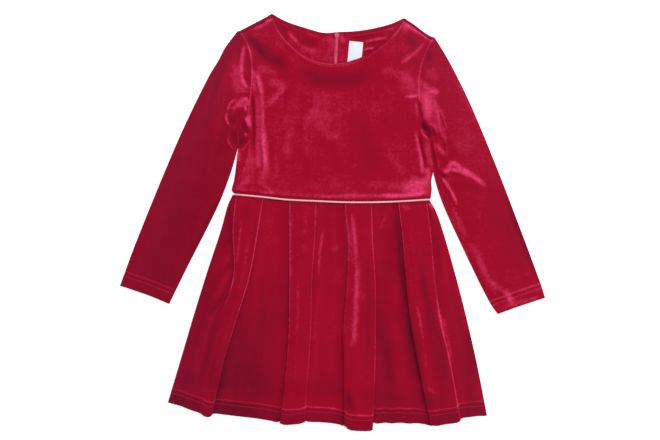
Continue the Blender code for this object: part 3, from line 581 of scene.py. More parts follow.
RIGHT_SLEEVE_CREASES = table(
    Crease,
    ("right cap shade", 134, 250, 138, 219, 1.9, 7, -0.1, -0.38),
    ("right cap glow", 128, 213, 148, 201, 0.2, 6.3, 0.2, 0.16),
    ("right sleeve upper edge light", 163, 220, 218, 99, -2.8, 3.6, 0.1, 0.14),
    ("right sleeve wide glow", 182, 136, 207, 71, 2.1, 12.6, 0.1, 0.06),
    ("right sleeve outer shade", 204, 115, 284, -81, -3.4, 8.4, 0, -0.06),
    ("right sleeve outer edge shade", 233, 57, 287, -79, -0.9, 3.6, -0.1, -0.3),
    ("right sleeve inner upper light", 152, 45, 163, 6, 0.3, 3.6, 0.1, 0.05),
    ("right sleeve inner low light", 168, 24, 190, -22, 0.3, 3.4, 0.1, 0.2),
    ("right head upper light", 123, 202, 137, 180, 0, 3.6, 0.1, 0.32),
    ("right head patch ray", 136.8, 186.8, 149.4, 181.2, 1.3, 3.6, 0.8, 0.75),
    ("right head patch", 128, 185, 135, 142, -1.4, 7, 1.3, 0.54),
    ("right head patch low", 141, 176, 151, 135, -0.9, 4.8, 0.8, 0.36, -0.4),
    ("right head line", 148, 167, 161, 129, -0.9, 1.1, 0.4, 0.45),
    ("right arm wide light", 168, 197, 193, 115, -1.8, 12.6, 0, 0.04),
    ("right arm outer light", 147, 146, 159, 107, -0.2, 2.2, 0.1, 0.28),
    ("right arm outer line", 153, 141, 161, 87, -2.2, 1.1, 0.6, 0.29),
    ("right arm top ridge", 140, 133, 147, 115, -0.9, 1.5, 1.2, -0.4),
    ("right arm hollow", 147, 124, 159, 101, -1.9, 3.1, -1.2, -0.12),
    ("right arm inner trough", 137, 118, 147, 68, -0.2, 1.4, -1.2, -0.56),
    ("right arm inner ridge", 140, 117, 150, 72, -1, 1.5, 1.2, 0.15),
    ("right arm ridge", 145, 110, 158, 93, 0.2, 2.7, 1.6, 0.5),
    ("right arm under trough", 151, 93, 156, 78, -0.4, 2.2, -0.8, 0),
    ("right upper arm light", 159, 157, 176, 101, 0, 5.6, 0, 0.07),
    ("right pocket", 126, 141, 139, 127, 2.2, 3.6, -1.8, -1.53),
    ("right pocket lip", 124, 134, 135, 117, 2.8, 1.8, 1.2, 0.45),
    ("right pocket fold", 129.1, 131.9, 141, 132.7, 4.6, 1.1, 0.9, 0.64),
    ("right pocket low", 130.5, 123.1, 139.6, 126.6, 2.4, 2.8, -1.2, -1),
    ("right pit fold glow", 130, 140, 149, 127, -3.9, 3.1, 0, 0.32),
    ("right elbow ray", 175, 79, 215, 50, -0.8, 3.6, 1.4, 0.66, 0.4),
    ("right elbow patch", 161, 78, 179, 76, -5.1, 4.2, 1.8, 0.85, 0.3),
    ("right elbow top ray", 162, 75, 193, 64, -2.5, 3.1, 0.1, 0.7),
    ("right elbow hook", 154.3, 72.7, 164.8, 76.2, 3.1, 2.2, 1, 0.72),
    ("right elbow hollow", 150, 71, 163, 64, 2.3, 1.4, -0.9, -0.9),
    ("right elbow trough", 159, 68, 190, 62, -2.1, 2.2, -1.2, -0.18),
    ("right elbow diagonal", 151, 65, 175, 23, -2.4, 1.8, 1.4, 0.72, 0.3),
    ("right elbow diagonal trough", 148, 65, 166, 29, 0.6, 1.5, -0.9, -0.1),
    ("right elbow lower shade", 182, 54, 208, 45, -1.1, 4.2, -0.1, -0.28),
    ("right forearm wide shade", 224, 38, 281, -69, 1.6, 16.8, -0.1, -0.14),
    ("right forearm left light", 162, 24, 204, -55, 2.2, 5.6, 0, 0.09),
    ("right forearm wide light", 168, 10, 221, -81, 3, 8.4, 0, 0.04),
    ("right forearm inner shade", 183, -22, 200, -55, -0.6, 4.9, -0.1, -0.08),
    ("right forearm ridge", 191, -25, 221, -79, -0.2, 2.5, 1.1, 0.1),
    ("right forearm ridge low", 215, -81, 242, -100, -1.3, 3.9, 1.2, 0.25),
    ("right cuff inner light", 201, -47, 221, -83, 0.6, 2.8, 0.1, 0.25),
    ("right cuff trough", 215, -86, 235, -106, -2, 3.1, -0.7, 0.1),
    ("right cuff ridge", 240, -95, 252, -116, -1.6, 3.9, 0.9, 0.5),
    ("right cuff light", 231, -121, 292, -103, 0.9, 3.1, 0.1, 0.22),
)
SKIRT_CREASES = table(
    Crease,
    ("first box top shade", -132, 31, -129, -53, 1.2, 9.8, 0, -0.04),
    ("first box top wide shade", -121, 24, -118, 1, -0.3, 7, -0.1, -0.14),
    ("first box right shade", -103, 23, -122, -74, -0.9, 3.1, -0.3, -0.2),
    ("first box streak", -127, 9, -135, -64, -0.8, 2.2, 0.7, 0.28, -0.3),
    ("first box second streak", -116, -22, -133, -106, -0.7, 3.1, 0.5, 0.17),
    ("first box streak bend", -134, -61, -144, -95, -1.8, 1.4, 0.6, 0.2),
    ("first box streak low", -132, -103, -159, -187, 0.3, 4.2, 0.9, 0.08),
    ("first box valley", -154, -125, -182, -228, 2.7, 4.5, -0.6, -0.16),
    ("first box wide low shade", -129, -144, -168, -251, 0.7, 16.8, -0.1, -0.16),
    ("first box streak foot", -159, -179, -172, -237, 1, 3.6, 0.7, -0.12),
    ("first box foot wide shade", -143, -212, -168, -249, 0.8, 15.4, -0.1, -0.16),
    ("right skirt corner light", 132.6, 26.5, 142.4, 20.2, -0.7, 2.8, 0.1, 0.7),
    ("fourth box top glow", 96, 24, 107, 15, 0.4, 4.9, 0.3, 0.16),
    ("fourth box top light", 95, 23, 112, 20, -1.4, 4.8, 0.2, 0.1),
    ("fourth box streak", 106, -8, 118, -95, -0.6, 2.2, 0.5, 0),
    ("fourth box left light", 102, -25, 114, -109, 1.8, 2.8, 0, 0.03),
    ("fourth box shade", 123, -55, 141, -172, -0.1, 5.6, -0.2, -0.32),
    ("fourth box low shade", 151, -95, 165, -347, -1, 15.4, 0, -0.13),
    ("fourth box streak low", 117, -109, 132, -204, -0.8, 2.5, 0.2, 0.22),
    ("fourth box left low shade", 100, -109, 123, -249, 2.8, 8.4, -0.1, -0.27),
    ("fourth box edge light", 154, -125, 168, -204, -0.5, 4.2, 0, 0.31),
    ("fourth box right low shade", 140, -158, 156, -237, 1.8, 7, -0.1, -0.16),
    ("fourth box middle shade", 127, -162, 130, -190, -0.1, 7, -0.1, -0.12),
    ("fourth box foot patch", 133, -230, 147, -239, 1.9, 3.1, 0.4, 0.25),
    ("right panel top light", 151, 24, 162, -39, 0.8, 4.2, 0, 0.06),
    ("right panel upper shade", 144, 15, 152, -85, -1, 3.6, -0.1, -0.24),
    ("right panel shade", 168, -55, 204, -228, 0.2, 8.4, -0.2, -0.2),
    ("right panel outer light", 173, -74, 191, -158, 0.7, 4.2, 0, 0.36),
    ("right panel low shade", 182, -81, 204, -319, -0.5, 12.6, 0, -0.2),
    ("right panel purple", 137, -109, 152, -173, 1.7, 3.6, 0, -0.24),
    ("right panel low light", 180, -109, 188, -167, -0.5, 3.6, 0.1, 0.09),
    ("right panel foot shade", 179, -172, 193, -249, 0.8, 7, -0.1, -0.14),
    ("right panel hem shade", 190, -235, 201, -263, 0, 8.4, 0, -0.08),
    ("second box left light", -57, 24, -57, -109, 0.4, 2.5, 0.3, 0.14),
    ("second box glow", -37, 15, -40, -50, 0.2, 4.9, 0.3, 0.12),
    ("second box wide shade", -59, 3, -63, -179, 0.5, 7, 0, -0.04),
    ("second box streak", -50, -69, -52, -179, -2.4, 2.8, 0.4, 0.17),
    ("second box foot streak", -52, -165, -51, -232, 1, 1.4, 0.3, 0.14),
    ("second box low shade", -42, -232, 18, -239, -0.5, 14, -0.1, -0.19),
    ("side panel shade", -142, 23, -145, -36, -0.1, 2.8, -0.4, -0.28),
    ("side panel notch", -145.3, -55.4, -144.9, -65.2, 0.1, 3.1, -0.1, -0.24),
    ("side panel glow", -150.9, -57.5, -143.5, -47.7, -0.2, 6.4, 0.1, 0.27),
    ("side panel glow low", -145, -68, -165, -114, 1.7, 4.8, 0.8, 0.28),
    ("side panel streak", -165, -111, -196, -223, 2.8, 4.5, 1.2, 0.21),
    ("third recess shade", 89, 23, 106, -134, 1, 5.6, -0.4, -0.38),
    ("third recess ray", 75, 15, 66, -13, -0.3, 2, 0.3, 0.15),
    ("third recess upper shade", 78, 10, 89, -88, 2, 11.2, -0.1, -0.12),
    ("third recess wide shade", 64, -39, 78, -319, -2.9, 16.8, 0, -0.18),
    ("third recess low shade", 61, -95, 78, -242, 1, 7, -0.1, -0.16),
    ("third recess glow", 67, -109, 93, -218, -9.4, 5.6, 0.2, 0.05),
    ("third recess low light", 56, -109, 57, -235, -2.2, 7, 0, 0.03),
    ("third recess shade low", 106, -125, 128, -237, -0.6, 4.2, -0.3, -0.36),
    ("third recess middle shade", 72, -151, 86, -235, -0.9, 5.6, 0, -0.24),
    ("third box streak", 25, 17, 33, -60, -1.7, 3.6, 1, 0.34, 0.4),
    ("third box streak wide", 18, 15, 30, -74, -1.4, 3.4, 0.1, 0.12),
    ("third box shade", 47, -39, 47, -207, -4.3, 3.6, -0.2, -0.2),
    ("third box streak middle", 33, -50, 31, -117, -1.6, 4.2, 1, 0.37, 0.4),
    ("third box streak low", 33, -106, 29, -176, -0.4, 4.2, 0.8, 0.35),
    ("third box left ridge", 21, -109, 21, -249, 1.4, 2.8, 0.2, -0.02),
    ("third box middle dip", 27, -128, 26, -170, 1.8, 5.6, -0.1, 0),
    ("third box foot shade", 20, -233, 28, -267, -0.3, 4.8, -0.1, -0.5),
    ("left panel shade", -146, 10, -241, -347, -3.4, 22.4, 0, -0.34),
    ("left panel light", -177, -88, -146, -47, -1.5, 7, 0.1, 0.12),
    ("left panel corner shade", -216, -229, -185, -226, -7.1, 11.2, -0.1, -0.14),
    ("first recess wide light", -112, -4, -115, -193, -7, 9.8, 0, 0.06),
    ("first recess streak", -109, -55, -114, -176, -1.1, 2.5, 0.4, 0.05),
    ("first recess low shade", -143, -207, -80, -228, 1.8, 22.4, 0, -0.2),
    ("first recess foot shade", -112, -237, -48, -240, 0, 12.6, -0.1, -0.13),
    ("second recess side shade", 9, -4, 12, -64, -0.1, 4.2, -0.1, -0.12),
    ("second recess streak", -12, -5, -20, -81, 1.2, 2, 0.5, 0.28),
    ("second recess glow", -6, -39, 14, -32, 0.7, 4.9, 0.2, 0.12),
    ("second recess streak low", -20, -83, -28, -173, -0.9, 2.2, 0.3, 0.12),
    ("second recess low shade", -28, -209, 8, -228, -0.6, 19.6, 0, -0.08),
    ("left skirt shade", -87, -67, -150, -361, 4.1, 39.2, 0, -0.34),
    ("fourth pleat edge light", 145, -103, 159, -172, 0.4, 2.5, 0.1, 0.32),
    ("fourth pleat foot shade", 124, -229, 138, -265, -0.7, 5.6, -0.1, -0.27),
    ("fourth fold side shade", 151, -165, 161, -226, 0, 4.9, -0.1, -0.24),
    ("hem shade right", 32, -242, 165, -249, 3.3, 14, 0, -0.2),
)
FRONT_CREASES = BODICE_CREASES + LEFT_SLEEVE_CREASES + RIGHT_SLEEVE_CREASES + SKIRT_CREASES
INSIDE_CREASES = table(
    Crease,
    ("inside left streak", -64, 269, -47, 251, 0.3, 2.1, 0.4, 0.45),
    ("inside left streak foot", -48, 252, -21, 239, 2.5, 3.9, 0.3, 0.19),
    ("inside top band", -38, 270, -19, 262, 0.1, 2.2, 0.1, 0.75),
    ("inside left shade", -45, 258, -20, 253, 2.4, 5.6, -0.1, -0.35),
    ("inside left corner shade", -79, 283, -62, 258, -1.9, 4.2, -0.1, -0.25),
    ("inside middle glow", -10, 261, 1, 241, -4.7, 5.6, 0.1, 0.22),
    ("inside zip side glow", 10.8, 263.1, 16.4, 252.6, -0.2, 3.4, 0.1, 0.41),
    ("inside right shade", 25, 262, 64, 264, 2, 3.1, -0.1, -0.4),
    ("inside right band", 68, 271, 86, 272, -0.2, 1.4, 0.2, 0.75),
    ("inside right streak", 42, 252, 77, 259, -0.8, 1.7, 0.3, 0.49),
    ("inside right low streak", 42, 241, 60, 244, -1.3, 1.8, 0.3, 0.6),
    ("inside right low shade", 47, 239, 67, 247, 1.9, 2, -0.1, -0.45),
    ("inside right middle shade", 53, 250, 75, 255, 0.3, 2, -0.1, -0.4),
    ("inside low glow", -51, 236, 25, 234, 4.9, 11.2, 0.1, 0.08),
    ("right shoulder point inside light", 126, 266, 139, 258, 0.4, 2.2, 0.1, 0.6),
)

# The same for the side that the dress lies on: troughs seen from below, where the cloth lifts off.
UNDER_CREASES = table(
    Crease,
    ("back left shoulder blade", -96, 236, -58, 120, 6, 9, 0.5, 0.35),
    ("back left side", -124, 96, -110, 52, -3, 5, 0.6, 0.45),
    ("back left armhole", -118, 190, -104, 128, 4, 6, 0.5, 0.4),
    ("back left waist", -92, 62, -30, 48, -2, 5, 0.4, 0.3),
    ("back right shoulder blade", 102, 228, 70, 108, -5, 9, 0.5, 0.35),
    ("back right side", 128, 74, 116, 44, 2, 4.5, 0.6, 0.45),
    ("back right armhole", 122, 176, 110, 110, -4, 6, 0.5, 0.4),
    ("back right waist", 30, 46, 104, 58, 3, 5, 0.4, 0.3),
    ("back left elbow", -176, 122, -212, 74, 5, 7, 0.5, 0.5),
    ("back left wrist", -232, -18, -246, -66, -3, 6, 0.4, 0.3),
    ("back right elbow", 178, 96, 216, 42, -6, 7, 0.5, 0.5),
    ("back right wrist", 226, -34, 250, -82, 4, 6, 0.4, 0.3),
    ("back skirt left box", -128, -40, -170, -220, 3, 7, 0, 0.4),
    ("back skirt second box", -42, -30, -58, -240, -4, 7, 0, 0.35),
    ("back skirt third box", 38, -30, 36, -236, 5, 8, 0, 0.4),
    ("back skirt right box", 116, -30, 150, -230, -4, 7, 0, 0.35),
)

# The cut of each cloth, in millimetres and square millimetres, what it lies on and its stitches.
BACK_HALVES = ("bodice_back_left", "bodice_back_right")
CUTS = table(
    Cut,
    ("bodice_front", 284, 262, 58400, "laid", BACK_HALVES, ("neck_stitches",)),
    ("bodice_back_left", 148, 262, 31400, "laid", (), ()),
    ("bodice_back_right", 148, 262, 32450, "laid", (), ()),
    ("sleeve_left", 250, 430, 57000, "laid", (), ("sleeve_left_stitches",)),
    ("sleeve_right", 250, 430, 56800, "laid", (), ("sleeve_right_stitches",)),
    ("skirt_front", 556, 318, 171500, "folded", ("skirt_back",), ("skirt_front_stitches",)),
    ("skirt_back", 556, 318, 170600, "folded", (), ("skirt_back_stitches",)),
)
# Where the double stitch rows run, how long the cloth is, and the sides of it that they show on.
HEMS = (
    ("skirt_front", HEM_ROWS, SKIRT_LENGTH, (1,)),
    ("skirt_back", HEM_ROWS, SKIRT_LENGTH, (-1,)),
    ("sleeve_left", CUFF_ROWS, SLEEVE_LENGTHS[0], (1,)),
    ("sleeve_right", CUFF_ROWS, SLEEVE_LENGTHS[1], (-1,)),
)


def ease(t):
    """0 below 0, 1 above 1, and a soft step between."""
    t = np.clip(t, 0.0, 1.0)
    return t * t * (3 - 2 * t)


def faded(distance, width):
    """1 on a line or edge, fading over a width to both sides of it."""
    return np.exp(-((distance / width) ** 2))


def smooth(knots, values):
    """A function through the values at rising knots, numbers or vectors, as a cubic Hermite curve."""
    knots, values = np.array(knots, float), np.array(values, float)
    last = len(knots) - 1
    before = np.maximum(np.arange(last + 1) - 1, 0)
    after = np.minimum(np.arange(last + 1) + 1, last)
    run = knots[after] - knots[before]
    slopes = (values[after] - values[before]) / (run[:, None] if values.ndim > 1 else run)

    def at(t):
        t = np.asarray(t, float)
        i = np.clip(np.searchsorted(knots, t, side="right") - 1, 0, last - 1)
        step = knots[i + 1] - knots[i]
        w = (t - knots[i]) / step
        if values.ndim > 1:
            step, w = step[..., None], w[..., None]
        start = (2 * w**3 - 3 * w**2 + 1) * values[i] + (w**3 - 2 * w**2 + w) * step * slopes[i]
        end = (3 * w**2 - 2 * w**3) * values[i + 1] + (w**3 - w**2) * step * slopes[i + 1]
        return start + end

    return at


def distances(points):
    """How far along a line each of its points lies."""
    steps = np.linalg.norm(np.diff(points, axis=0), axis=1)
    return np.concatenate(([0.0], np.cumsum(steps)))


def path(rows):
    """A function of the share, 0 to 1, of the way along a smooth curve through a table's points."""
    points = np.array([(row.x, row.y, row.z) for row in rows])
    knots = distances(points)
    return smooth(knots / knots[-1], points)


def mix(first, second, share):
    """The way from one point to another, for arrays of shares."""
    return first + (second - first) * np.asarray(share)[..., None]


def between(first, second, share):
    """The same for two numbers."""
    return first + (second - first) * share


def to_edge(share):
    """The share of the way from the nearer of two edges."""
    return np.minimum(share, 1 - share)


def coons(bottom, top, left, right):
    """The surface inside four edges: bottom and top run left to right, left and right upwards."""

    def at(u, v):
        across = mix(bottom(u), top(u), v)
        upward = mix(left(v), right(v), u)
        flat = mix(mix(bottom(0), bottom(1), u), mix(top(0), top(1), u), v)
        return across + upward - flat

    return at


def in_turn(first, share, second):
    """Two curves end to end, the first one taking that share of the way."""

    def at(t):
        t = np.asarray(t, float)
        early = first(np.minimum(t / share, 1))
        late = second(np.maximum((t - share) / (1 - share), 0))
        return np.where((t < share)[..., None], early, late)

    return at


def lines(*stops):
    """Rising grid lines from (start, step) pairs and a last end, each stretch evenly divided."""
    found = []
    for (start, step), stop in zip(stops, [*(s[0] for s in stops[1:-1]), stops[-1]]):
        found.append(np.linspace(start, stop, max(round((stop - start) / step), 1), endpoint=False))
    return np.concatenate([*found, [stops[-1]]])


def creased(rows, x, y):
    """How far a table of creases lifts the cloth at places, and its brushed tone, painted light and
    shade there.
    """
    height, nap = np.zeros_like(x), np.zeros_like(x)
    for row in rows:
        along_x, along_y = row.x1 - row.x0, row.y1 - row.y0
        length = math.hypot(along_x, along_y)
        off_x, off_y = x - row.x0, y - row.y0
        share = (off_x * along_x + off_y * along_y) / length**2
        side = (off_x * along_y - off_y * along_x) / length - row.bow * 4 * share * (1 - share)
        from_end = to_edge(share) * length + row.width
        narrowed = np.where(side > 0, 1 - max(row.sharp, 0), 1 + min(row.sharp, 0))
        mark = ease(from_end / (2 * row.width + length / 5)) * faded(side, row.width * narrowed)
        height += row.height * mark
        nap += row.nap * mark
    return height, nap


def ripple(x, y, size, seed, stretch=1.0):
    """Uneven soft waves of about that size, mostly between -1 and 1, drawn out along Y by stretch."""
    random = np.random.default_rng(seed)
    total = np.zeros_like(x)
    for _ in range(9):
        turn, phase = random.uniform(0, math.pi), random.uniform(0, 2 * math.pi)
        wave = 2 * math.pi / (size * random.uniform(0.7, 1.7))
        total += np.sin((x * math.cos(turn) + y / stretch * math.sin(turn)) * wave + phase)
    return total / 5


def waist_y(x):
    """y of the waist seam at places across the dress."""
    line = smooth([row.x for row in WAIST], [row.y for row in WAIST])
    return line(np.clip(x, WAIST[0].x, WAIST[-1].x))


def waist_lift(x, y):
    """How far the front bodice climbs towards the pleats below the waist seam."""
    inside = np.maximum(np.minimum(x - WAIST[0].x, WAIST[-1].x - x), 0)
    climb = 1 - ease((y - waist_y(x)) / WAIST_CLIMB)
    return (WAIST_Z - FRONT_Z) * climb * ease(inside / WAIST_SIDE)


def unit(vectors):
    """Vectors of length 1."""
    return vectors / np.maximum(np.linalg.norm(vectors, axis=-1, keepdims=True), 1e-9)


class Cloth:
    """A cloth as its grid of middle points, with its brushed tone and painted light and shade at each.
    """

    def __init__(self, points, nap, v_lines, tube=False):
        self.points, self.nap, self.v_lines, self.tube = points, nap, v_lines, tube

    def normals(self):
        """The direction across and up crossed, at each point."""
        across, upward = np.gradient(self.points, axis=1), np.gradient(self.points, axis=0)
        return unit(np.cross(across, upward))

    def line(self, v):
        """The points and normals of a line across the cloth, at a share of the way up it."""
        v = np.broadcast_to(v, self.points.shape[1])
        row = np.interp(v, self.v_lines, np.arange(len(self.v_lines)))
        low = np.minimum(row.astype(int), len(self.v_lines) - 2)
        column = np.arange(self.points.shape[1])
        normals = self.normals()
        found = mix(self.points[low, column], self.points[low + 1, column], row - low)
        facing = mix(normals[low, column], normals[low + 1, column], row - low)
        return found, unit(facing)


def finished(made, name):
    """The mesh that an edit mesh makes, which ends with it."""
    mesh = bpy.data.meshes.new(name)
    made.to_mesh(mesh)
    made.free()
    return mesh


def mesh_of(name, cloth, finish, thickness=CLOTH, edge_round=EDGE_ROUND):
    """The object that a cloth makes, thickened to both sides, with its cut edges rounded."""
    rows, columns = cloth.points.shape[:2]
    grid = bmesh.new()
    bmesh.ops.create_grid(grid, x_segments=columns - 1, y_segments=rows - 1, size=0.5)
    mesh = finished(grid, name)
    flat = np.empty(len(mesh.vertices) * 3)
    mesh.vertices.foreach_get("co", flat)
    column = np.rint((flat[0::3] + 0.5) * (columns - 1)).astype(int)
    row = np.rint((flat[1::3] + 0.5) * (rows - 1)).astype(int)
    mesh.vertices.foreach_set("co", (cloth.points[row, column] * MM).ravel())
    # the cloth's brushed tone together with its painted highlights and painted shade, for the shader
    tone_marks = mesh.attributes.new("nap", "FLOAT", "POINT")
    tone_marks.data.foreach_set("value", cloth.nap[row, column])
    if cloth.tube:
        joined = bmesh.new()
        joined.from_mesh(mesh)
        bmesh.ops.remove_doubles(joined, verts=joined.verts, dist=1e-6)
        joined.to_mesh(mesh)
        joined.free()
    mesh.shade_smooth()
    piece = add_piece(name, mesh, finish)
    wall = piece.modifiers.new("wall", "SOLIDIFY")
    wall.thickness = thickness * MM
    wall.offset = 0
    edges = piece.modifiers.new("edges", "BEVEL")
    edges.width = edge_round * MM
    edges.segments = 2
    edges.limit_method = "ANGLE"
    edges.angle_limit = ROUNDED_FROM
    return piece


def placed(name, data):
    """An object in the scene."""
    made = bpy.data.objects.new(name, data)
    bpy.context.scene.collection.objects.link(made)
    return made


def add_piece(name, mesh, finish):
    """An object of the dress, which lies still with the rest of it."""
    mesh.materials.append(finish)
    piece = placed(name, mesh)
    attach(piece, "root")
    return piece


def turned_edge(points, outward, radius, reach, side):
    """Rows past the last one: the cloth turns over, up or down by side, and runs back for reach."""
    edge = points[-1]
    added = []
    for angle in np.radians(TURN_ANGLES):
        rise = side * radius * (1 - math.cos(angle))
        added.append(edge + outward * (radius * math.sin(angle))[:, None])
        added[-1][:, 2] += rise
    under = added[-1]
    for share in BAND_SHARES:
        added.append(under - outward * (reach * share)[:, None])
    return np.concatenate([points, np.array(added)])


def edge_normals(edge, sign):
    """The level direction out of the cloth along its last row."""
    along = np.gradient(edge, axis=0)
    found = np.stack([-along[:, 1], along[:, 0], np.zeros(len(edge))], axis=1)
    return unit(found) * sign


def bodice_edge(side_rows, armhole_rows, shoulder_end):
    """A bodice's side seam and armhole as one edge, its end drawn back to shoulder_end."""
    side, armhole = path(side_rows), path(armhole_rows)

    def shoulder(t):
        late = (t - SHOULDER_FROM) / (1 - SHOULDER_FROM) * (shoulder_end - SHOULDER_FROM)
        return armhole(np.where(t > SHOULDER_FROM, SHOULDER_FROM + late, t))

    return in_turn(side, SIDE_SHARE, shoulder)


def bodice_bottom(start, end, height, cord):
    """The bodice's lower edge, just above the piping, between two places across the dress."""

    def at(t):
        x = between(start, end, np.asarray(t, float))
        return np.stack([x, waist_y(x) + cord + SEAM, np.full_like(x, height)], axis=-1)

    return at


def with_turn(nap, last, count):
    """A cloth's tone and painted light and shade, with the same row for each of the rows that its
    turned edge adds.
    """
    return np.concatenate([nap, np.repeat(last[None], count - len(nap), axis=0)])


def bodice_front():
    """The front, its neck edge raised and turned under."""
    left = bodice_edge(SIDE_LEFT, ARMHOLE_LEFT, FRONT_SHOULDER_END)
    right = bodice_edge(SIDE_RIGHT, ARMHOLE_RIGHT, FRONT_SHOULDER_END)
    neck = path(NECK_FRONT)

    def top(t):
        t = np.asarray(t, float)
        out = np.maximum((t - 1) / NECK_SHARE + 1, 0)
        from_left = mix(left(1.0), neck(0.0), np.minimum(t / NECK_SHARE, 1))
        to_right = mix(neck(1.0), right(1.0), out)
        to_right[..., 1] += SHOULDER_BOW * np.sin(2 * math.pi * out)
        middle = neck(np.clip((t - NECK_SHARE) / (1 - 2 * NECK_SHARE), 0, 1))
        outer = np.where((t < 0.5)[..., None], from_left, to_right)
        return np.where(((t < NECK_SHARE) | (t > 1 - NECK_SHARE))[..., None], outer, middle)

    bottom = bodice_bottom(left(0.0)[0], right(0.0)[0], FRONT_Z, PIPING_R)
    u_lines, v_lines = lines(*FRONT_COLUMNS), lines(*FRONT_ROWS)
    u, v = np.meshgrid(u_lines, v_lines)
    points = coons(bottom, top, left, right)(u, v)
    x, y = points[..., 0], points[..., 1]
    height, nap = creased(FRONT_CREASES, x, y)

    above_waist, below_neck = y - waist_y(x), (1 - v) * FRONT_HEIGHT
    roll = WAIST_ROLL * faded(above_waist - WAIST_ROLL_AT, WAIST_ROLL_WIDTH)
    loft = CHEST_LOFT * ease(to_edge(u) / LOFT_EDGE) * ease((1 - v) / LOFT_EDGE)
    loft += waist_lift(x, y) + height + RIPPLE * ripple(x, y, 34, seed=3)
    loft += ease(to_edge(u) / WAIST_ROLL_ENDS) * roll
    points[..., 2] = np.maximum(points[..., 2] + loft, FRONT_Z)
    from_side = np.minimum(x - left(v)[..., 0], right(v)[..., 0] - x)
    points[..., 2] -= SEAM_DIP * faded(from_side, SEAM_DIP_WIDTH)
    # a painted highlight along the side seams and armholes, above the underarm, and painted shade just
    # above the piping
    nap += SEAM_HIGHLIGHT * faded(from_side, SEAM_HIGHLIGHT_WIDTH) * ease((y - UNDERARM_Y) / UNDERARM_FADE)
    nap += WAIST_SHADE * faded(above_waist - PIPING_R, WAIST_SHADE_WIDTH)

    in_neck = ease((to_edge(u_lines) - NECK_SHARE) / NECK_ENDS)
    dent = faded(below_neck - NECK_ROW, SEW_DENT_WIDTH)
    # a painted highlight over the rolled neck edge, dimmed where it turns away from the light, and at
    # the stitch row
    roll_light_and_shade = ROLL_HIGHLIGHT * faded(below_neck, ROLL_HIGHLIGHT_WIDTH) * (1 - faded(x - NECK_DIM[0], NECK_DIM[1]))
    points[..., 2] += in_neck * (NECK_RAISE * faded(below_neck, NECK_RAISE_WIDTH) - SEW_DENT * dent)
    nap += in_neck * (roll_light_and_shade + SEW_LINE_LIGHT * dent)
    radius = between(PLAIN_TURN_R, NECK_TURN_R, in_neck)
    outward = edge_normals(points[-1], 1)
    pull = 1 - ease(below_neck / NECK_PULL)
    points -= pull[..., None] * (outward * ((radius + CLOTH / 2) * in_neck)[:, None])
    points = turned_edge(points, outward, radius, NECK_TURN * in_neck + PLAIN_TURN, -1)
    return Cloth(points, with_turn(nap, nap[-1], len(points)), v_lines)


def bodice_back(side_rows, armhole_rows, neck_rows, seam_side):
    """Half of the back. Its shoulder rolls forward to the front, and its neck edge is turned in."""
    outer = bodice_edge(side_rows, armhole_rows, 1.0)
    neck, centre = path(neck_rows), path(CENTRE_BACK)
    gap = np.array([seam_side * SEAM / 2, 0, 0])

    def inner(t):
        return centre(t) + gap

    def top(t):
        t = np.asarray(t, float)
        share = np.minimum(t / BACK_SHOULDER_SHARE, 1)
        shoulder = mix(outer(1.0), neck(0.0), share)
        shoulder[..., 1] -= SHOULDER_BOW * max(seam_side, 0) * np.sin(2 * math.pi * share)
        late = np.clip((t - BACK_SHOULDER_SHARE) / (1 - BACK_SHOULDER_SHARE), 0, 1)
        return np.where((t < BACK_SHOULDER_SHARE)[..., None], shoulder, neck(late) + gap)

    bottom = bodice_bottom(outer(0.0)[0], inner(0.0)[0], BACK_Z, BACK_PIPING_R)
    u_lines, v_lines = lines(*BACK_COLUMNS), lines(*BACK_ROWS)
    u, v = np.meshgrid(u_lines, v_lines)
    points = coons(bottom, top, outer, inner)(u, v)
    x, y = points[..., 0], points[..., 1]
    height, nap = creased(INSIDE_CREASES, x, y)
    under, under_nap_and_painted_light = creased(UNDER_CREASES, x, y)
    within = ease(np.minimum(to_edge(u), to_edge(v)) / UNDER_EDGE)
    points[..., 2] = BACK_Z + height * INSIDE_RELIEF + under * within
    # the creases' tone and painted light, and a painted highlight along the outer seams
    nap = nap + under_nap_and_painted_light + SEAM_HIGHLIGHT * faded(u * BACK_WIDTH, SEAM_HIGHLIGHT_WIDTH)

    at_neck = ease((u_lines - BACK_SHOULDER_SHARE) / BACK_NECK_ENDS[0])
    at_neck *= ease((1 - u_lines) / BACK_NECK_ENDS[1])
    at_shoulder = ease((BACK_SHOULDER_SHARE - u_lines) / BACK_SHOULDER_END)
    radius = PLAIN_TURN_R + BACK_NECK_R * at_neck + BACK_SHOULDER_R * at_shoulder
    reach = between(PLAIN_TURN, NECK_TURN, at_neck) + BACK_SHOULDER_TURN * at_shoulder
    outward = edge_normals(points[-1], -seam_side)
    pull = 1 - ease((1 - v) * BACK_HEIGHT / NECK_PULL)
    points -= pull[..., None] * (outward * ((radius + CLOTH / 2) * (at_neck + at_shoulder))[:, None])
    points = turned_edge(points, outward, radius, reach, 1)
    points[-3:, :, 2] -= np.array(BACK_TURN_DROPS)[:, None] * at_neck
    # painted shade on the shoulder roll, and the turned-in neck band a little darker
    roll_light_and_shade = nap[-1] + SHOULDER_ROLL_SHADE * at_shoulder + INNER_EDGE_DARKENING * at_neck
    return Cloth(points, with_turn(nap, roll_light_and_shade, len(points)), v_lines)


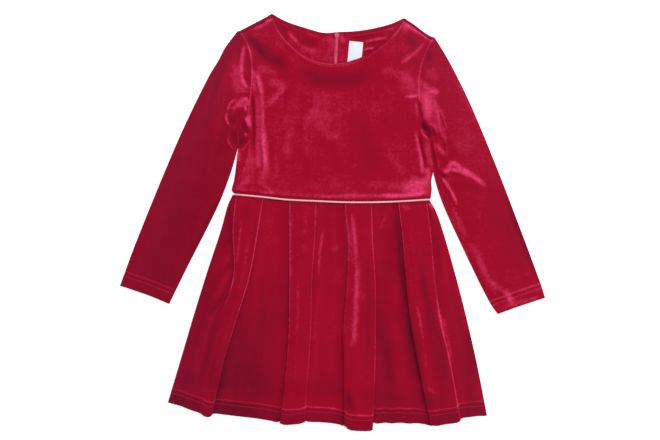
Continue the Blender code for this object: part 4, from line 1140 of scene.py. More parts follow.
def sleeve(tables, armhole_rows, side, pile_and_painted_light, seed):
    """A sleeve as a flattened tube, ring by ring from its cuff to the armhole and under its edge."""
    armhole = path(armhole_rows)
    inner, outer, cuff = path(tables["inner"]), path(tables["outer"]), path(tables["cuff"])
    length = np.linalg.norm(inner(0.0) - inner(1.0))
    v_lines = lines((0, CUFF_STEP / length), (STITCHED / length, SLEEVE_STEP / length), 1.0)
    cap_lines = np.arange(1, CAP_STEPS + 1) / CAP_STEPS
    v = np.concatenate([v_lines, np.ones(CAP_STEPS)])[:, None]
    cap = np.concatenate([np.zeros(len(v_lines)), cap_lines])[:, None]
    across = lines(*SLEEVE_COLUMNS)
    turns = np.linspace(-0.5, 0.5, FOLD_STEPS)[1:-1] * math.pi
    shorter = length / np.linalg.norm(outer(0.0) - outer(1.0))
    start, end = inner(v[:, 0]), outer(v[:, 0] * between(shorter, 1, ease(v[:, 0])))
    outward = unit((end - start) * (1, 1, 0))

    def bow(edge, u):
        """How far an end of the sleeve curves off the straight line between its two corners."""
        return edge(u) - mix(edge(0.0), edge(1.0), u)

    def flat(u):
        """The points of a layer, its ends bowed and its folds' roundness taken off its width."""
        points = start[:, None] + (end - start)[:, None] * u[None, :, None]
        points = points + (bow(cuff, u)[None] * (1 - v)[..., None] ** 2)
        along = armhole(np.minimum(u + 0.01, 1)) - armhole(np.maximum(u - 0.01, 0))
        tuck = unit(np.stack([-along[:, 1], along[:, 0], 0 * u], axis=1)) * side * SLEEVE_TUCK
        points = points + (bow(armhole, u) + tuck)[None] * cap[..., None]
        near = np.maximum(1 - u / SLEEVE_EDGE_SHARE, 0)
        far = np.maximum(1 - (1 - u) / SLEEVE_EDGE_SHARE, 0)
        return points + outward[:, None] * (FOLD_INSET * (near - far))[None, :, None]

    def back_layer(u):
        points = flat(u)
        height, nap = creased(UNDER_CREASES, points[..., 0], points[..., 1])
        points[..., 2] = BACK_Z + height * ease(to_edge(u) / LOFT_EDGE)
        return points, nap

    def front_layer(u):
        points = flat(u)
        x, y = points[..., 0], points[..., 1]
        height, nap = creased(FRONT_CREASES, x, y)
        height = height + RIPPLE * ripple(x, y, 30, seed)
        window = ease(to_edge(u) / LOFT_EDGE)[None]
        from_cuff, to_seam = v * length, (1 - cap) * SLEEVE_CAP + (1 - v) * length
        loft = SLEEVE_LOFT * window * ease(to_edge(v) / LOFT_EDGE)
        loft = loft - SEAM_DIP * faded(to_seam, SEAM_DIP_WIDTH)
        # painted shade over the whole sleeve and round its cuff's edge, and a painted highlight along
        # the armhole seam
        nap = nap + pile_and_painted_light + RIM_SHADE * faded(from_cuff, RIM_SHADE_WIDTH)
        nap = nap + SEAM_HIGHLIGHT * faded(to_seam, SEAM_HIGHLIGHT_WIDTH) * ease((y - UNDERARM_Y) / UNDERARM_FADE)
        for row in CUFF_ROWS:
            dent = faded(from_cuff - row, SEW_DENT_WIDTH)
            loft = loft - SEW_DENT * window * dent
            nap = nap + SEW_LINE_LIGHT * dent * (row / CUFF_ROWS[0]) ** 2
        level = FRONT_Z + (points[..., 2] - FRONT_Z) * window
        points[..., 2] = np.maximum(level + loft + window * height, FRONT_Z - SLEEVE_SINK)
        return points, nap

    def turn(edge, direction, angles):
        """The cloth turning over at a fold, from the back layer to the front."""
        offset = FOLD_INSET - FOLD_R * np.cos(angles)
        points = edge[:, None] - direction[:, None] * offset[None, :, None]
        points[..., 2] = (BACK_Z + FRONT_Z) / 2 + FOLD_R * np.sin(angles)
        nap = creased(FRONT_CREASES, points[..., 0], points[..., 1])[1]
        # painted shade where the fold turns away
        return points, nap + RIM_SHADE * np.cos(angles)

    parts = [back_layer(across), turn(end, outward, turns), front_layer(across[::-1])]
    parts.append(turn(start, -outward, turns[::-1]))
    parts.append((parts[0][0][:, :1], parts[0][1][:, :1]))
    points, nap = (np.concatenate(found, axis=1) for found in zip(*parts))
    return Cloth(points, nap, np.concatenate([v_lines, 1 + cap_lines]), tube=True)


def fold_x(fold, v):
    """x of a fold or side seam at a share of the way down the skirt."""
    values = (fold.waist, fold.down5, fold.down16, fold.down36, fold.down55, fold.down75, fold.hem)
    return smooth(STATIONS, values)(v)


class Section:
    """The points of a section across the skirt: x, z, the y that each has at the hem, and its painted
    light and shade.
    """

    def __init__(self, layer):
        self.points, self.layer = [], layer

    def span(self, start, end, shares, height, hems, beside):
        """Points between two places, height giving z; beside gives the painted shade next to a fold,
        and its width, at both ends.
        """
        width = abs(end - start)
        for share in shares:
            nap = beside[0][0] * faded(share * width, beside[0][1])
            nap += beside[1][0] * faded((1 - share) * width, beside[1][1])
            x, hem = between(start, end, share), between(*hems, share)
            self.points.append((x, height(share), hem, nap))

    def turn(self, fold, outward, heights, hem, nap, steps):
        """The cloth turns back over itself, its outside reaching fold."""
        middle, half = sum(heights) / 2, (heights[1] - heights[0]) / 2
        radius = self.layer / 2
        centre = fold - outward * (radius + CLOTH / 2)
        for angle in np.linspace(-0.5, 0.5, steps) * math.pi:
            x = centre + outward * radius * math.cos(angle)
            self.points.append((x, middle + half * math.sin(angle), hem, nap))

    def open_out(self, first, share, across, heights):
        """The points from first on leave their fold by a share for one soft slope."""
        folded = np.array(self.points[first:])
        way = np.linspace(0, 1, len(folded))
        slope = folded.copy()
        slope[:, 0] = between(*across, way)
        slope[:, 1] = between(*heights, ease(way))
        slope[:, 2] = between(folded[0, 2], folded[-1, 2], way)
        slope[:, 3] = 0.0
        self.points[first:] = map(tuple, between(folded, slope, share))


def fold_light_and_shade(index, v, front):
    """The painted highlight on a fold and the painted shade beside it, with the width of the latter,
    at a share of the way down.
    """
    if not front:
        return BACK_FOLD_LIGHT_AND_SHADE[0], BACK_FOLD_LIGHT_AND_SHADE[1:]
    row = FOLD_LIGHT_AND_SHADE[index]
    on = smooth((0, 0.5, 1), (row.waist, row.middle, row.hem))(v)
    beside = smooth((0, 0.5, 1), (row.beside_waist, row.beside_middle, row.beside_hem))(v)
    return float(on), (float(beside), row.width)


def fold_under(fold, v):
    """How deep the cloth turns under at a fold, and the mean y of its two layers at the hem."""
    return between(fold.deep_waist, fold.deep_hem, v), (fold.recess_hem + fold.box_hem) / 2


def skirt_section(v, front):
    """A section across the skirt, at a share of the way down it, as an array of a Section's points.

    In front the recesses are the lowest layer and the boxes the highest. Behind, the boxes lie on
    the table, and the recesses pass over their folds and drop to the table between them."""
    free = ease(v / WAIST_PRESS)
    if front:
        layer = LAYER * between(*PRESSED, free) * (1 + FOLD_SWELL * v)
        seam_z, recess_z, box_z = FRONT_Z, SKIRT_Z, SKIRT_Z + 2 * layer
        recess_sag, crown = RECESS_SAG, BOX_CROWN * free
        opened = float(ease((v - FIRST_OPENS[0]) / (FIRST_OPENS[1] - FIRST_OPENS[0])))
    else:
        layer = LAYER
        seam_z, recess_z, box_z = BACK_Z, BACK_Z + 2 * LAYER, BACK_Z
        recess_sag, crown, opened = 2 * LAYER, 0.0, 0.0
    middle_z = (recess_z + box_z) / 2
    side_shares = np.linspace(0, 1, SIDE_STEPS, endpoint=False)
    even = np.linspace(0, 1, SPAN_STEPS)[1:-1]
    shares = between(even, (1 - np.cos(math.pi * even)) / 2, 0.3)  # closer at both ends
    edges = [float(fold_x(fold, v)) for fold in FOLDS]
    fold_lights = [fold_light_and_shade(index, v, front) for index in range(len(FOLDS))]
    section, inset, plain = Section(layer), (layer + CLOTH) / 2, (0.0, 1.0)

    def climb(share):
        way = share / CLIMB_SHARE if front else (share - 1 + CLIMB_SHARE) / CLIMB_SHARE
        return between(seam_z, recess_z, min(max(way, 0), 1))

    def sag(share):
        return recess_z - recess_sag * ease(to_edge(share) / DIP_SHARE)

    def crowned(share):
        return box_z + crown * math.sin(math.pi * share)

    hems = SIDE_SEAM_LEFT.recess_hem, FOLDS[0].recess_hem
    start = float(fold_x(SIDE_SEAM_LEFT, v))
    hollow = edges[0] - OPEN_RUN * opened
    section.span(start, hollow, side_shares, climb, hems, (plain, fold_lights[0][1]))
    for left in range(0, len(FOLDS), 2):
        right = left + 1
        opening, closing = FOLDS[left], FOLDS[right]
        start, end = edges[left], edges[right]
        under, deep_hem = fold_under(opening, v)
        first = len(section.points)
        # a fold's painted highlight on its turn, and painted shade on the cloth beside it
        section.points.append((start, recess_z, opening.recess_hem, fold_lights[left][1][0]))
        section.turn(start + under, 1, (recess_z, middle_z), deep_hem, 0.0, DEEP_STEPS)
        section.turn(start, -1, (middle_z, box_z), opening.box_hem, fold_lights[left][0], SHOWN_STEPS)
        if left == 0:
            section.open_out(first, opened, (hollow, start + inset), (recess_z, box_z))
        hems = opening.box_hem, closing.box_hem
        section.span(start + inset, end - inset, shares, crowned, hems, (plain, plain))
        under, deep_hem = fold_under(closing, v)
        section.turn(end, 1, (box_z, middle_z), closing.box_hem, fold_lights[right][0], SHOWN_STEPS)
        section.turn(end - under, -1, (middle_z, recess_z), deep_hem, 0.0, DEEP_STEPS)
        section.points.append((end, recess_z, closing.recess_hem, fold_lights[right][1][0]))
        if right + 1 < len(FOLDS):
            hems = closing.recess_hem, FOLDS[right + 1].recess_hem
            beside = fold_lights[right][1], fold_lights[right + 1][1]
            section.span(end, edges[right + 1], shares, sag, hems, beside)
    hems = SIDE_SEAM_RIGHT.recess_hem, FOLDS[-1].recess_hem
    start = float(fold_x(SIDE_SEAM_RIGHT, v))
    section.span(start, edges[-1], side_shares[::-1], climb, hems, (plain, fold_lights[-1][1]))

    points = np.array(section.points)
    low = ease((box_z - points[:, 1]) / layer) if front else 0.0
    beneath = ease((middle_z - points[:, 1]) / layer) if front else 0.0
    for index, (edge, corner) in enumerate(zip(edges, HEM_CORNERS)):
        # painted light in the crevice under each fold, fading where the first one opens out
        nap = CREVICE_PAINTED_LIGHTS[index % 2] * (1 - opened if index == 0 else 1) * ease(v / CREVICE_FROM)
        points[:, 3] += nap * low * faded(points[:, 0] - edge, CREVICE_WIDTH)
        lift = corner.rise * between(1, -CORNER_SINK, beneath)
        points[:, 2] += lift * faded(points[:, 0] - edge, corner.reach)
    return points


def skirt(front):
    """A skirt panel folded into its four box pleats, its rows running from the hem to the waist."""
    step = SKIRT_STEP if front else BACK_SKIRT_STEP
    stretches = (0, HEM_STEP), (STITCHED, step), SKIRT_LENGTH
    down = (1 - lines(*stretches) / SKIRT_LENGTH)[:, None]
    top_x = skirt_section(0.0, front)[:, 0]
    top = waist_y(top_x) - PIPING_R - SEAM
    sections = np.array([skirt_section(v, front) for v in down[:, 0]])
    x, z, hem, shade = np.moveaxis(sections, -1, 0)
    line = smooth(*zip(*HEM_LINE))(np.clip(x[:1], HEM_LINE[0][0], HEM_LINE[-1][0]))
    y = top + (hem - top) * down + line * down**2
    height, nap = creased(FRONT_CREASES if front else UNDER_CREASES, x, y)

    above_hem = (1 - down) * SKIRT_LENGTH
    from_side = np.minimum(x - x[:, :1], x[:, -1:] - x)
    dents = sum(faded(above_hem - row, SEW_DENT_WIDTH) * (row / HEM_ROWS[0]) ** 2 for row in HEM_ROWS)
    # the folds' painted highlights and the painted shade beside them, the whole skirt a little darker,
    # painted shade below the piping, darker below the hem's rows, a painted highlight in them, and
    # painted shade round the outer edges
    nap += shade + SKIRT_TONE + PIPING_SHADE * faded(down * SKIRT_LENGTH, PIPING_SHADE_WIDTH)
    nap += HEM_BAND_DARKENING * ease((HEM_ROWS[0] - above_hem) / HEM_BAND) + SEW_LINE_LIGHT * dents
    nap += RIM_SHADE * (faded(above_hem, RIM_SHADE_WIDTH) + faded(from_side, RIM_SHADE_WIDTH))
    if front:
        away = ease((1 - down) / SKIRT_RELIEF_ENDS[0]) * ease(down / SKIRT_RELIEF_ENDS[1])
        uneven = SKIRT_RIPPLE * ripple(x, y, 20, seed=8, stretch=5)
        z = z + (np.maximum(height, 0) + uneven) * away - SEW_DENT * dents
    return Cloth(np.stack([x, y, z], axis=-1), nap, 1 - down[:, 0])


class Value:
    """A shader value. Arithmetic on it adds Math nodes to its finish."""

    def __init__(self, finish, socket):
        self.finish, self.socket = finish, socket

    def _math(self, operation, first, second):
        node = self.finish.node("ShaderNodeMath", {"operation": operation}, {0: first, 1: second})
        return Value(self.finish, node.outputs[0])

    def __add__(self, other):
        return self._math("ADD", self, other)

    def __sub__(self, other):
        return self._math("SUBTRACT", self, other)

    def __rsub__(self, other):
        return self._math("SUBTRACT", other, self)

    def __mul__(self, other):
        return self._math("MULTIPLY", self, other)

    __radd__ = __add__
    __rmul__ = __mul__


class Finish:
    """A material with a Principled shader, whose nodes come from node()."""

    def __init__(self, name, roughness, specular=0.5):
        self.material = bpy.data.materials.new(name)
        self.material.use_nodes = True
        self.tree = self.material.node_tree
        self.shader = self.tree.nodes["Principled BSDF"]
        self.set(Roughness=roughness, Specular_IOR_Level=specular)

    def node(self, kind, settings=None, inputs=None):
        """A node with its settings made first, then its sockets' values or links."""
        node = self.tree.nodes.new(kind)
        for name, value in (settings or {}).items():
            setattr(node, name, value)
        for name, value in (inputs or {}).items():
            self.join(node.inputs[name], value)
        return node

    def join(self, socket, value):
        """A socket takes a value, or a link from another socket."""
        if isinstance(value, Value):
            value = value.socket
        if isinstance(value, bpy.types.NodeSocket):
            self.tree.links.new(value, socket)
        else:
            socket.default_value = value

    def set(self, **inputs):
        """Values or links for the shader's sockets, with _ for a space in a name."""
        for name, value in inputs.items():
            self.join(self.shader.inputs[name.replace("_", " ")], value)

    def place(self, stretch=(1.0, 1.0, 1.0), turn=(0.0, 0.0, 0.0)):
        """Object coordinates in metres, scaled along each axis and turned about it."""
        where = self.node("ShaderNodeTexCoord").outputs["Object"]
        inputs = {"Vector": where, "Scale": stretch, "Rotation": turn}
        return self.node("ShaderNodeMapping", None, inputs).outputs[0]

    def axes(self):
        """The object's X and Y in metres."""
        parts = self.node("ShaderNodeSeparateXYZ", None, {"Vector": self.place()}).outputs
        return Value(self, parts[0]), Value(self, parts[1])

    def noise(self, scale, detail=3.0, roughness=0.55, **place):
        """Soft noise about 0, between -0.5 and 0.5."""
        inputs = {"Scale": scale, "Detail": detail, "Roughness": roughness}
        inputs["Vector"] = self.place(**place)
        return Value(self, self.node("ShaderNodeTexNoise", None, inputs).outputs["Fac"]) - 0.5

    def wave(self, scale, distortion=0.0, **place):
        """Bands across X, between 0 and 1."""
        inputs = {"Scale": scale, "Distortion": distortion, "Vector": self.place(**place)}
        return Value(self, self.node("ShaderNodeTexWave", None, inputs).outputs["Fac"])

    def attribute(self, name):
        """A value that a piece's mesh carries."""
        node = self.node("ShaderNodeAttribute", {"attribute_name": name})
        return Value(self, node.outputs["Fac"])

    def blend(self, factor, first, second):
        """One colour or the other, by a factor from 0 to 1."""
        settings = {"data_type": "RGBA", "clamp_factor": True}
        node = self.node("ShaderNodeMix", settings, {"Factor": factor})
        colours = [socket for socket in node.inputs if socket.type == "RGBA"]
        self.join(colours[0], first)
        self.join(colours[1], second)
        return next(socket for socket in node.outputs if socket.type == "RGBA")

    def bump(self, height, strength, distance):
        """The surface raised by height, in metres of distance."""
        inputs = {"Height": height, "Strength": strength, "Distance": distance}
        self.set(Normal=self.node("ShaderNodeBump", None, inputs).outputs[0])


def velvet(name, shade, body, shine, painted_sheen):
    """Short-piled velvet: by its cloth's tone it goes from a dark colour through its own to a pink
    shine. That tone holds some brushed velvet but mostly painted highlights and painted shade.

    Down both sleeves, and at the outer ends of the skirt, a slight bluish painted sheen is added
    to the darker two colours."""
    finish = Finish(name, roughness=0.62, specular=0.03)
    finish.set(Sheen_Weight=0.55, Sheen_Roughness=0.3, Sheen_Tint=(1.0, 0.12, 0.27, 1))
    cloud = finish.noise(26, detail=6.0, roughness=0.66)
    tone_marks = finish.noise(110, detail=4.0, stretch=(1.0, 0.16, 1.0))
    swept = finish.noise(130, stretch=(0.22, 1.0, 1.0))
    mottle = finish.noise(240, detail=4.0, roughness=0.7)
    grain = finish.noise(900, detail=2.0)
    uneven = 1.0 + mottle * 1.7 + cloud * 0.6
    pile_and_painted_light = 0.5 + finish.attribute("nap") * uneven * 0.62 + cloud * 0.26 + tone_marks * 0.14 + swept * 0.1
    pile_and_painted_light = pile_and_painted_light + mottle * 0.26 + grain * 0.12

    dark = finish.blend(pile_and_painted_light * 2.0, shade, body)
    bluish = finish.blend(pile_and_painted_light * 2.0, *(tuple(map(sum, zip(tone, painted_sheen))) for tone in (shade, body)))
    # where the bluish painted sheen comes in: up the sleeves, and at the skirt's outer ends
    across, along = finish.axes()
    square = across * across
    upper = finish.blend((square + along * 0.155 - 0.04) * 60.0, dark, bluish)
    outer = finish.blend((square - 0.01) * 11.0, dark, bluish)
    dark = finish.blend(along * -4.0, dark, outer)  # below the waist
    dark = finish.blend((along + 0.1) * 3.0, dark, upper)  # and above it
    finish.set(Base_Color=finish.blend(pile_and_painted_light * 2.0 - 1.0, dark, shine), Roughness=0.66 - pile_and_painted_light * 0.18)
    finish.bump(grain + mottle * 0.6, 0.35, 0.0004)
    return finish.material


def sewing_thread(name, dark, light):
    """Polyester thread, twisted from two plies."""
    finish = Finish(name, roughness=0.5, specular=0.3)
    twist = finish.wave(900, distortion=1.0)
    finish.set(Base_Color=finish.blend(twist, dark, light))
    finish.bump(twist, 0.4, 0.0001)
    return finish.material


def piping_cloth():
    """Cream satin with a blush, folded on the bias around its cord."""
    finish = Finish("cream_piping_satin", roughness=0.42, specular=0.4)
    weave = finish.wave(900, distortion=0.8, turn=(0.4, 0.3, 0.78))
    glint = finish.noise(1400, detail=1.0)
    wear = finish.noise(46, detail=2.0, stretch=(1.0, 0.3, 1.0))
    tone = weave * 0.3 + glint * 0.5 + 0.35
    rosy = finish.blend(tone, (0.93, 0.34, 0.365, 1), (0.98, 0.49, 0.52, 1))
    golden = finish.blend(tone, (0.94, 0.43, 0.39, 1), (0.98, 0.59, 0.56, 1))
    finish.set(Base_Color=finish.blend(wear * 3.0 + 0.5, rosy, golden))
    finish.bump(weave, 0.15, 0.0001)
    return finish.material


def zip_tape():
    """Woven pink tape beside the zip's teeth."""
    finish = Finish("pink_zip_tape", roughness=0.8, specular=0.2)
    ribs, cross = finish.wave(900, stretch=(0.0, 1.0, 0.0)), finish.wave(1100)
    tone = ribs * 0.5 + cross * 0.3 + finish.noise(80) * 0.6
    finish.set(Base_Color=finish.blend(tone, (0.50, 0.03, 0.085, 1), (0.66, 0.06, 0.125, 1)))
    finish.bump(ribs + cross, 0.4, 0.0001)
    return finish.material


def nylon():
    """The moulded pink coil, slightly glossy."""
    finish = Finish("pink_nylon_coil", roughness=0.35)
    tone = finish.noise(200) + 0.5
    finish.set(Base_Color=finish.blend(tone, (0.56, 0.045, 0.11, 1), (0.74, 0.10, 0.18, 1)))
    finish.bump(finish.noise(2500), 0.2, 0.00005)
    return finish.material


def lacquer():
    """Pink lacquer on the zinc slider, rubbed unevenly."""
    finish = Finish("pink_slider_lacquer", roughness=0.3)
    worn = finish.noise(420, detail=4.0)
    finish.set(Base_Color=finish.blend(worn + 0.5, (0.50, 0.04, 0.10, 1), (0.64, 0.075, 0.15, 1)))
    finish.set(Roughness=0.34 + worn * 0.3)
    return finish.material


def label_satin():
    """White polyester satin with a pink-white woven border and a pale blue field, left bare."""
    finish = Finish("white_label_satin", roughness=0.45, specular=0.35)
    finish.set(Sheen_Weight=0.2, Sheen_Roughness=0.4)
    ribs, warp = finish.wave(1050, stretch=(0.0, 1.0, 0.0)), finish.wave(760)
    tone = ribs * 0.35 + warp * 0.25 + finish.noise(160) * 0.8 + 0.2
    border = finish.blend(tone, (0.86, 0.66, 0.74, 1), (1.0, 0.86, 0.92, 1))
    field = finish.blend(tone, (0.66, 0.74, 0.82, 1), (0.82, 0.89, 0.96, 1))
    # here that attribute carries the label's field share, its woven print, not light
    finish.set(Base_Color=finish.blend(finish.attribute("nap"), border, field))
    finish.bump(ribs + warp, 0.25, 0.0001)
    return finish.material


def paper():
    """The pale floor."""
    finish = Finish("pale_floor", roughness=0.9, specular=0.1)
    tone = finish.noise(3.0) + 0.5
    finish.set(Base_Color=finish.blend(tone, (0.93, 0.93, 0.93, 1), (0.95, 0.95, 0.95, 1)))
    finish.set(Emission_Color=(1, 1, 1, 1), Emission_Strength=0.45)
    return finish.material


def tube(name, centres, radius, finish, sides=14):
    """A closed round cord along a row of centres."""
    along = unit(np.gradient(centres, axis=0))
    up = np.array([0.0, 0.0, 1.0])
    across = unit(np.cross(along, up))
    above = np.cross(across, along)
    radii = np.broadcast_to(radius, len(centres))[:, None]
    circles = []
    for angle in np.linspace(0, 2 * math.pi, sides + 1):
        circles.append(centres + radii * (across * math.cos(angle) + above * math.sin(angle)))
    circles = np.array(circles) * MM
    grid = bmesh.new()
    bmesh.ops.create_grid(grid, x_segments=sides, y_segments=len(centres) - 1, size=0.5)
    for vert in grid.verts:
        column = round((vert.co.x + 0.5) * sides)
        row = round((vert.co.y + 0.5) * (len(centres) - 1))
        vert.co = circles[column, row]
    bmesh.ops.remove_doubles(grid, verts=grid.verts, dist=1e-6)
    bmesh.ops.holes_fill(grid, edges=grid.edges, sides=0)
    bmesh.ops.recalc_face_normals(grid, faces=grid.faces)
    mesh = finished(grid, name)
    mesh.shade_smooth()
    mesh.set_sharp_from_angle(angle=math.radians(50))
    return add_piece(name, mesh, finish)


def ball(around, upward):
    """A round bead's points and faces, of radius 1, its poles on its third axis."""
    points = [(0.0, 0.0, 1.0)]
    for tilt in np.arange(1, upward) * math.pi / upward:
        radius, level = math.sin(tilt), math.cos(tilt)
        for turn in np.arange(around) * 2 * math.pi / around:
            points.append((-radius * math.sin(turn), radius * math.cos(turn), level))
    points.append((0.0, 0.0, -1.0))
    last = len(points) - 1
    faces = []
    for here in range(around):
        beside = (here + 1) % around
        faces.append((0, 1 + here, 1 + beside))
        for ring in range(1, last - around, around):
            faces.append((ring + here, ring + around + here, ring + around + beside, ring + beside))
        faces.append((last, last - around + beside, last - around + here))
    return np.array(points), faces


def beads(name, centres, axes, finish, segments):
    """Many small round-ended forms as one mesh, each with its own centre and three half axes."""
    shape, faces = ball(*segments)
    points = np.array(centres)[:, None] + np.einsum("va,nab->nvb", shape, np.array(axes))
    joined = []
    for first in range(0, len(points) * len(shape), len(shape)):
        joined.extend([first + index for index in face] for face in faces)
    mesh = bpy.data.meshes.new(name)
    mesh.from_pydata((points * MM).reshape(-1, 3), [], joined)
    mesh.shade_smooth()
    return add_piece(name, mesh, finish)


def sampled(places, knots, rows):
    """Rows of numbers read off between rising knots at places along them."""
    return np.stack([np.interp(places, knots, column) for column in rows.T], axis=1)


def stitches(name, rows, finish, thread):
    """Rows of stitches as one piece. A row is a line's points and normals, on one side of a cloth."""
    centres, axes = [], []
    for points, normals in rows:
        far = distances(points)
        start = np.arange(thread.pitch / 2, far[-1] - thread.length, thread.pitch)
        tail, head = sampled(start, far, points), sampled(start + thread.length, far, points)
        facing = sampled(start, far, normals)
        straight = np.linalg.norm(head - tail, axis=1) > thread.length * 0.8
        tail, head, facing = tail[straight], head[straight], unit(facing[straight])
        along = unit(head - tail)
        side = unit(np.cross(facing, along))
        centres.append((tail + head) / 2 + facing * thread.lift)
        above = np.cross(along, side)
        halves = side * thread.radius, above * thread.radius, along * thread.length / 2
        axes.append(np.stack(halves, axis=1))
    return beads(name, np.concatenate(centres), np.concatenate(axes), finish, STITCH_SEGMENTS)


def hem_stitches(name, cloth, rows, length, sides, finish):
    """Both rows of a hem or cuff, on each of the given sides of its cloth: 1 for its normals' side."""
    found = []
    for side in sides:
        for row in rows:
            points, normals = cloth.line(row / length)
            found.append((points, normals * side))
    return stitches(name, found, finish, SEWING)


def neck_stitches(front, backs, finish):
    """The row that holds the turned neck edge, seen in front, inside the back and outside it."""
    skipped = round(NECK_SHARE * front.points.shape[1])
    points, normals = front.line(1 - NECK_ROW / FRONT_HEIGHT)
    rows = [(points[skipped:-skipped], normals[skipped:-skipped])]
    for back in backs:
        shown = slice(round(BACK_SHOULDER_SHARE * back.points.shape[1]) + 2, -4)
        points, normals = back.line(1 - NECK_ROW / BACK_HEIGHT)
        rows.append((points[shown], -normals[shown]))
        turned = back.points[-2][shown]
        rows.append((turned, np.broadcast_to((0.0, 0.0, 1.0), turned.shape)))
    return stitches("neck_stitches", rows, finish, SEWING)


def stand_in(piece, node):
    """A piece takes the place of its solid, which is hidden."""
    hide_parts(node)
    return piece


def add_piping(finish):
    """The covered cord in the waist seam, in front and behind."""
    x = np.linspace(WAIST[0].x, WAIST[-1].x, 200)
    y = waist_y(x)
    z = FRONT_Z + PIPING_LIFT + waist_lift(x, y) + PIPING_WAVE * ripple(x, y, 26, seed=5)
    front = tube("waist_piping_front_cord", np.stack([x, y, z], axis=1), PIPING_R, finish)
    stand_in(front, "waist_piping_front")
    x = np.linspace(WAIST[0].x + BACK_PIPING_SHORTER, WAIST[-1].x - BACK_PIPING_SHORTER, 120)
    centres = np.stack([x, waist_y(x), np.full_like(x, BACK_PIPING_R)], axis=1)
    back = tube("waist_piping_back_cord", centres, BACK_PIPING_R, finish, sides=10)
    stand_in(back, "waist_piping_back")


def plate(made, half, low, high, rim=None):
    """A level plate with a mirrored outline between two heights, bevelled round one of them."""
    outline = [*half, *((-x, y) for x, y in half[-2:0:-1])]
    verts = [made.verts.new((SLIDER_AT[0] + x, SLIDER_AT[1] + y, low)) for x, y in outline]
    raised = bmesh.ops.extrude_face_region(made, geom=[made.faces.new(verts)])
    top = [item for item in raised["geom"] if isinstance(item, bmesh.types.BMVert)]
    bmesh.ops.translate(made, verts=top, vec=(0, 0, high - low))
    faces = dict.fromkeys(face for vert in [*verts, *top] for face in vert.link_faces)
    bmesh.ops.recalc_face_normals(made, faces=list(faces))
    if rim is None:
        return
    ring = top if rim == high else verts
    edges = dict.fromkeys(edge for vert in ring for edge in vert.link_edges)
    geom = [edge for edge in edges if all(vert in ring for vert in edge.verts)]
    offset = min(SLIDER_BEVEL, (high - low) * 0.4)
    shape = {"segments": 3, "profile": 0.5, "affect": "EDGES", "material": -1}
    bmesh.ops.bevel(made, geom=geom, offset=offset, **shape)


def add_slider(finish):
    """The zip's slider at the top of its tape: two plates, the teeth's way between them, a post.

    The plates' rims are bevelled towards that way, where the teeth run in."""
    made = bmesh.new()
    low, high = SLIDER_Z
    floor, ceiling = low + SLIDER_PLATE[0], high - SLIDER_PLATE[1]
    plate(made, SLIDER_HALF, low, floor, rim=floor)
    plate(made, SLIDER_HALF, ceiling, high, rim=ceiling)
    plate(made, SLIDER_POST, floor - SLIDER_POST_INTO, ceiling + SLIDER_POST_INTO)
    mesh = finished(made, "zip_slider_body")
    mesh.transform(Matrix.Scale(MM, 4))
    mesh.shade_smooth()
    mesh.set_sharp_from_angle(angle=math.radians(40))
    stand_in(add_piece("zip_slider_body", mesh, finish), "zip_slider")


def add_zip():
    """The closed coil zip inside the centre back, its tape along both edges of the seam."""
    centre = path(CENTRE_BACK)
    share = np.linspace(*ZIP_SHARES, 110)
    across = np.linspace(-0.5, 0.5, 9) * ZIP_WIDTH
    middle = centre(share)
    points = middle[:, None] + across[None, :, None] * np.array([1.0, 0, 0])
    wave = ZIP_WAVE * ripple(points[..., 0] * 3, points[..., 1], 24, seed=21)
    points[..., 2] = ZIP_Z + wave - ZIP_SLOPE * np.abs(across)[None] / ZIP_WIDTH
    tape = Cloth(points, np.zeros(points.shape[:2]), share)
    tape_piece = mesh_of("zip_tape", tape, zip_tape(), ZIP_TAPE, ZIP_TAPE_ROUND)
    stand_in(tape_piece, "back_zip")

    count = int(np.linalg.norm(middle[-1] - middle[0]) / COIL_PITCH)
    coil = centre(np.linspace(*ZIP_SHARES, count))
    coil[:, 0] += np.where(np.arange(count) % 2, COIL_SWAY, -COIL_SWAY)
    coil[:, 2] = ZIP_Z + ZIP_TAPE / 2 + COIL_LIFT
    turn = np.array([(COIL[0], COIL_SLANT, 0), (0, COIL[1], 0), (0, 0, COIL[2])])
    beads("zip_coil", coil, np.broadcast_to(turn, (count, 3, 3)), nylon(), COIL_SEGMENTS)
    add_slider(lacquer())


def add_label(thread):
    """The bare label sewn under the back neck by its top edge, lying slightly bowed."""
    width, height = LABEL_SIZE
    x, y = np.meshgrid(np.linspace(-0.5, 0.5, 27) * width, np.linspace(-0.5, 0.5, 47) * height)
    free = ease((height / 2 - y) / LABEL_SEWN)
    bow = LABEL_BOW * (np.cos(x / width * math.pi) - 0.3) * free
    z = LABEL_Z + bow + LABEL_WAVE * ripple(x, y, 11, seed=31)
    turned_x = LABEL_AT[0] + x * math.cos(LABEL_TURN) - y * math.sin(LABEL_TURN)
    turned_y = LABEL_AT[1] + x * math.sin(LABEL_TURN) + y * math.cos(LABEL_TURN)
    inner = np.minimum(width / 2 - np.abs(x), height / 2 - np.abs(y))
    field = ease((inner - LABEL_EDGE) / LABEL_EDGE_BLUR + 0.5)
    # the field's share goes into the attribute that carries the velvet's painted light; here it is the
    # label's print
    cloth = Cloth(np.stack([turned_x, turned_y, z], axis=-1), field, np.linspace(0, 1, len(y)))
    label = mesh_of("neck_label_satin", cloth, label_satin(), LABEL_THICK, LABEL_ROUND)
    stand_in(label, "neck_label")
    points, normals = cloth.line(1 - LABEL_ROW / height)
    sewn = stitches("label_stitches", [(points[1:-1], normals[1:-1])], thread, LABEL_SEWING)


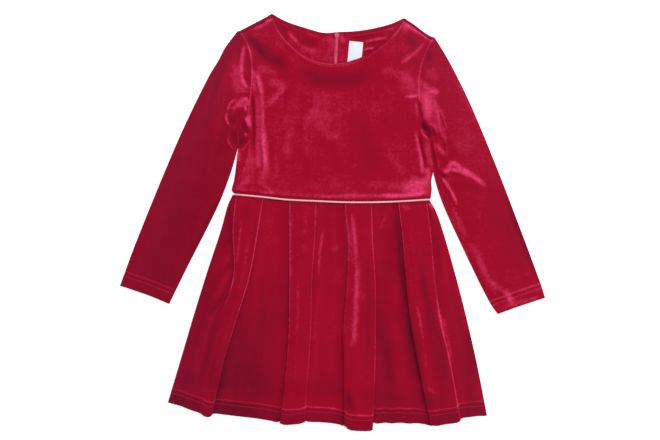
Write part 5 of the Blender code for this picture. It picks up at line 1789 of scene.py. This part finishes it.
def set_stage():
    """A pale floor, soft light from the upper right, and a camera straight above the dress."""
    ground = bmesh.new()
    bmesh.ops.create_grid(ground, x_segments=1, y_segments=1, size=FLOOR_SIZE)
    mesh = finished(ground, "floor")
    mesh.materials.append(paper())
    floor = placed("floor", mesh)
    floor.location.z = FLOOR_Z
    floor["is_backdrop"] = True

    world = bpy.data.worlds.new("studio")
    world.use_nodes = True
    light = world.node_tree.nodes["Background"].inputs
    light["Color"].default_value, light["Strength"].default_value = (1, 1, 1, 1), WORLD_LIGHT
    bpy.context.scene.world = world

    key = bpy.data.lights.new("key", "SUN")
    key.energy, key.angle = KEY_LIGHT, KEY_SOFT
    placed("key", key).rotation_euler = KEY_TURN

    lens = bpy.data.cameras.new("camera")
    lens.lens, lens.sensor_width, lens.clip_end = LENS, SENSOR, CLIP_END
    camera = placed("camera", lens)
    camera.location = (*CAMERA_AT, VIEW_WIDTH * LENS / SENSOR + VIEW_LEVEL)
    bpy.context.scene.camera = camera
    bpy.context.scene.view_settings.view_transform = "Standard"


def declare_sheets(pieces, sewn):
    """For each cloth's cut, looks up the pieces it rests on and its stitches, and does nothing more.
    """
    for cut in CUTS:
        [pieces[name] for name in cut.rests_on]
        [sewn[name] for name in cut.sewn]


def main():
    """The whole dress, then its stage."""
    # the velvet's dark colour for painted shade, its own colour, its painted pink shine, and its
    # painted bluish sheen
    tones = (0.110, 0.0027, 0.0138, 1), (0.316, 0.0016, 0.0184, 1), (0.74, 0.047, 0.152, 1)
    crimson = velvet("crimson_velvet", *tones, painted_sheen=(0.0, 0.0034, 0.010, 0))
    thread = sewing_thread("crimson_thread", (0.36, 0.015, 0.05, 1), (0.52, 0.05, 0.11, 1))
    white = sewing_thread("white_thread", (0.72, 0.66, 0.70, 1), (0.95, 0.90, 0.94, 1))
    cloths = {
        "bodice_front": bodice_front(),
        "bodice_back_left": bodice_back(SIDE_LEFT, ARMHOLE_LEFT, NECK_BACK_LEFT, -1),
        "bodice_back_right": bodice_back(SIDE_RIGHT, ARMHOLE_RIGHT, NECK_BACK_RIGHT, 1),
        "sleeve_left": sleeve(SLEEVE_LEFT, ARMHOLE_LEFT, -1, SLEEVE_PAINTED_SHADES[0], seed=11),
        "sleeve_right": sleeve(SLEEVE_RIGHT, ARMHOLE_RIGHT, 1, SLEEVE_PAINTED_SHADES[1], seed=12),
        "skirt_front": skirt(True),
        "skirt_back": skirt(False),
    }
    pieces = {}
    for name, cloth in cloths.items():
        thickness = BODICE_CLOTH if name.startswith("bodice") else CLOTH
        pieces[name] = stand_in(mesh_of(name + "_velvet", cloth, crimson, thickness), name)
    backs = [cloths[name] for name in BACK_HALVES]
    sewn = {"neck_stitches": neck_stitches(cloths["bodice_front"], backs, thread)}
    for name, rows, length, sides in HEMS:
        cloth = cloths[name]
        sewn[name + "_stitches"] = hem_stitches(name + "_stitches", cloth, rows, length, sides, thread)
    declare_sheets(pieces, sewn)
    add_piping(piping_cloth())
    add_zip()
    add_label(white)
    set_stage()


def write_size():
    """Reads the CAD model's box and the visual model's; nothing is done with them."""
    for name, box in (("cad", CAD_BOX), ("visual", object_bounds())):
        [[float(number) for number in corner] for corner in box]


main()
write_size()
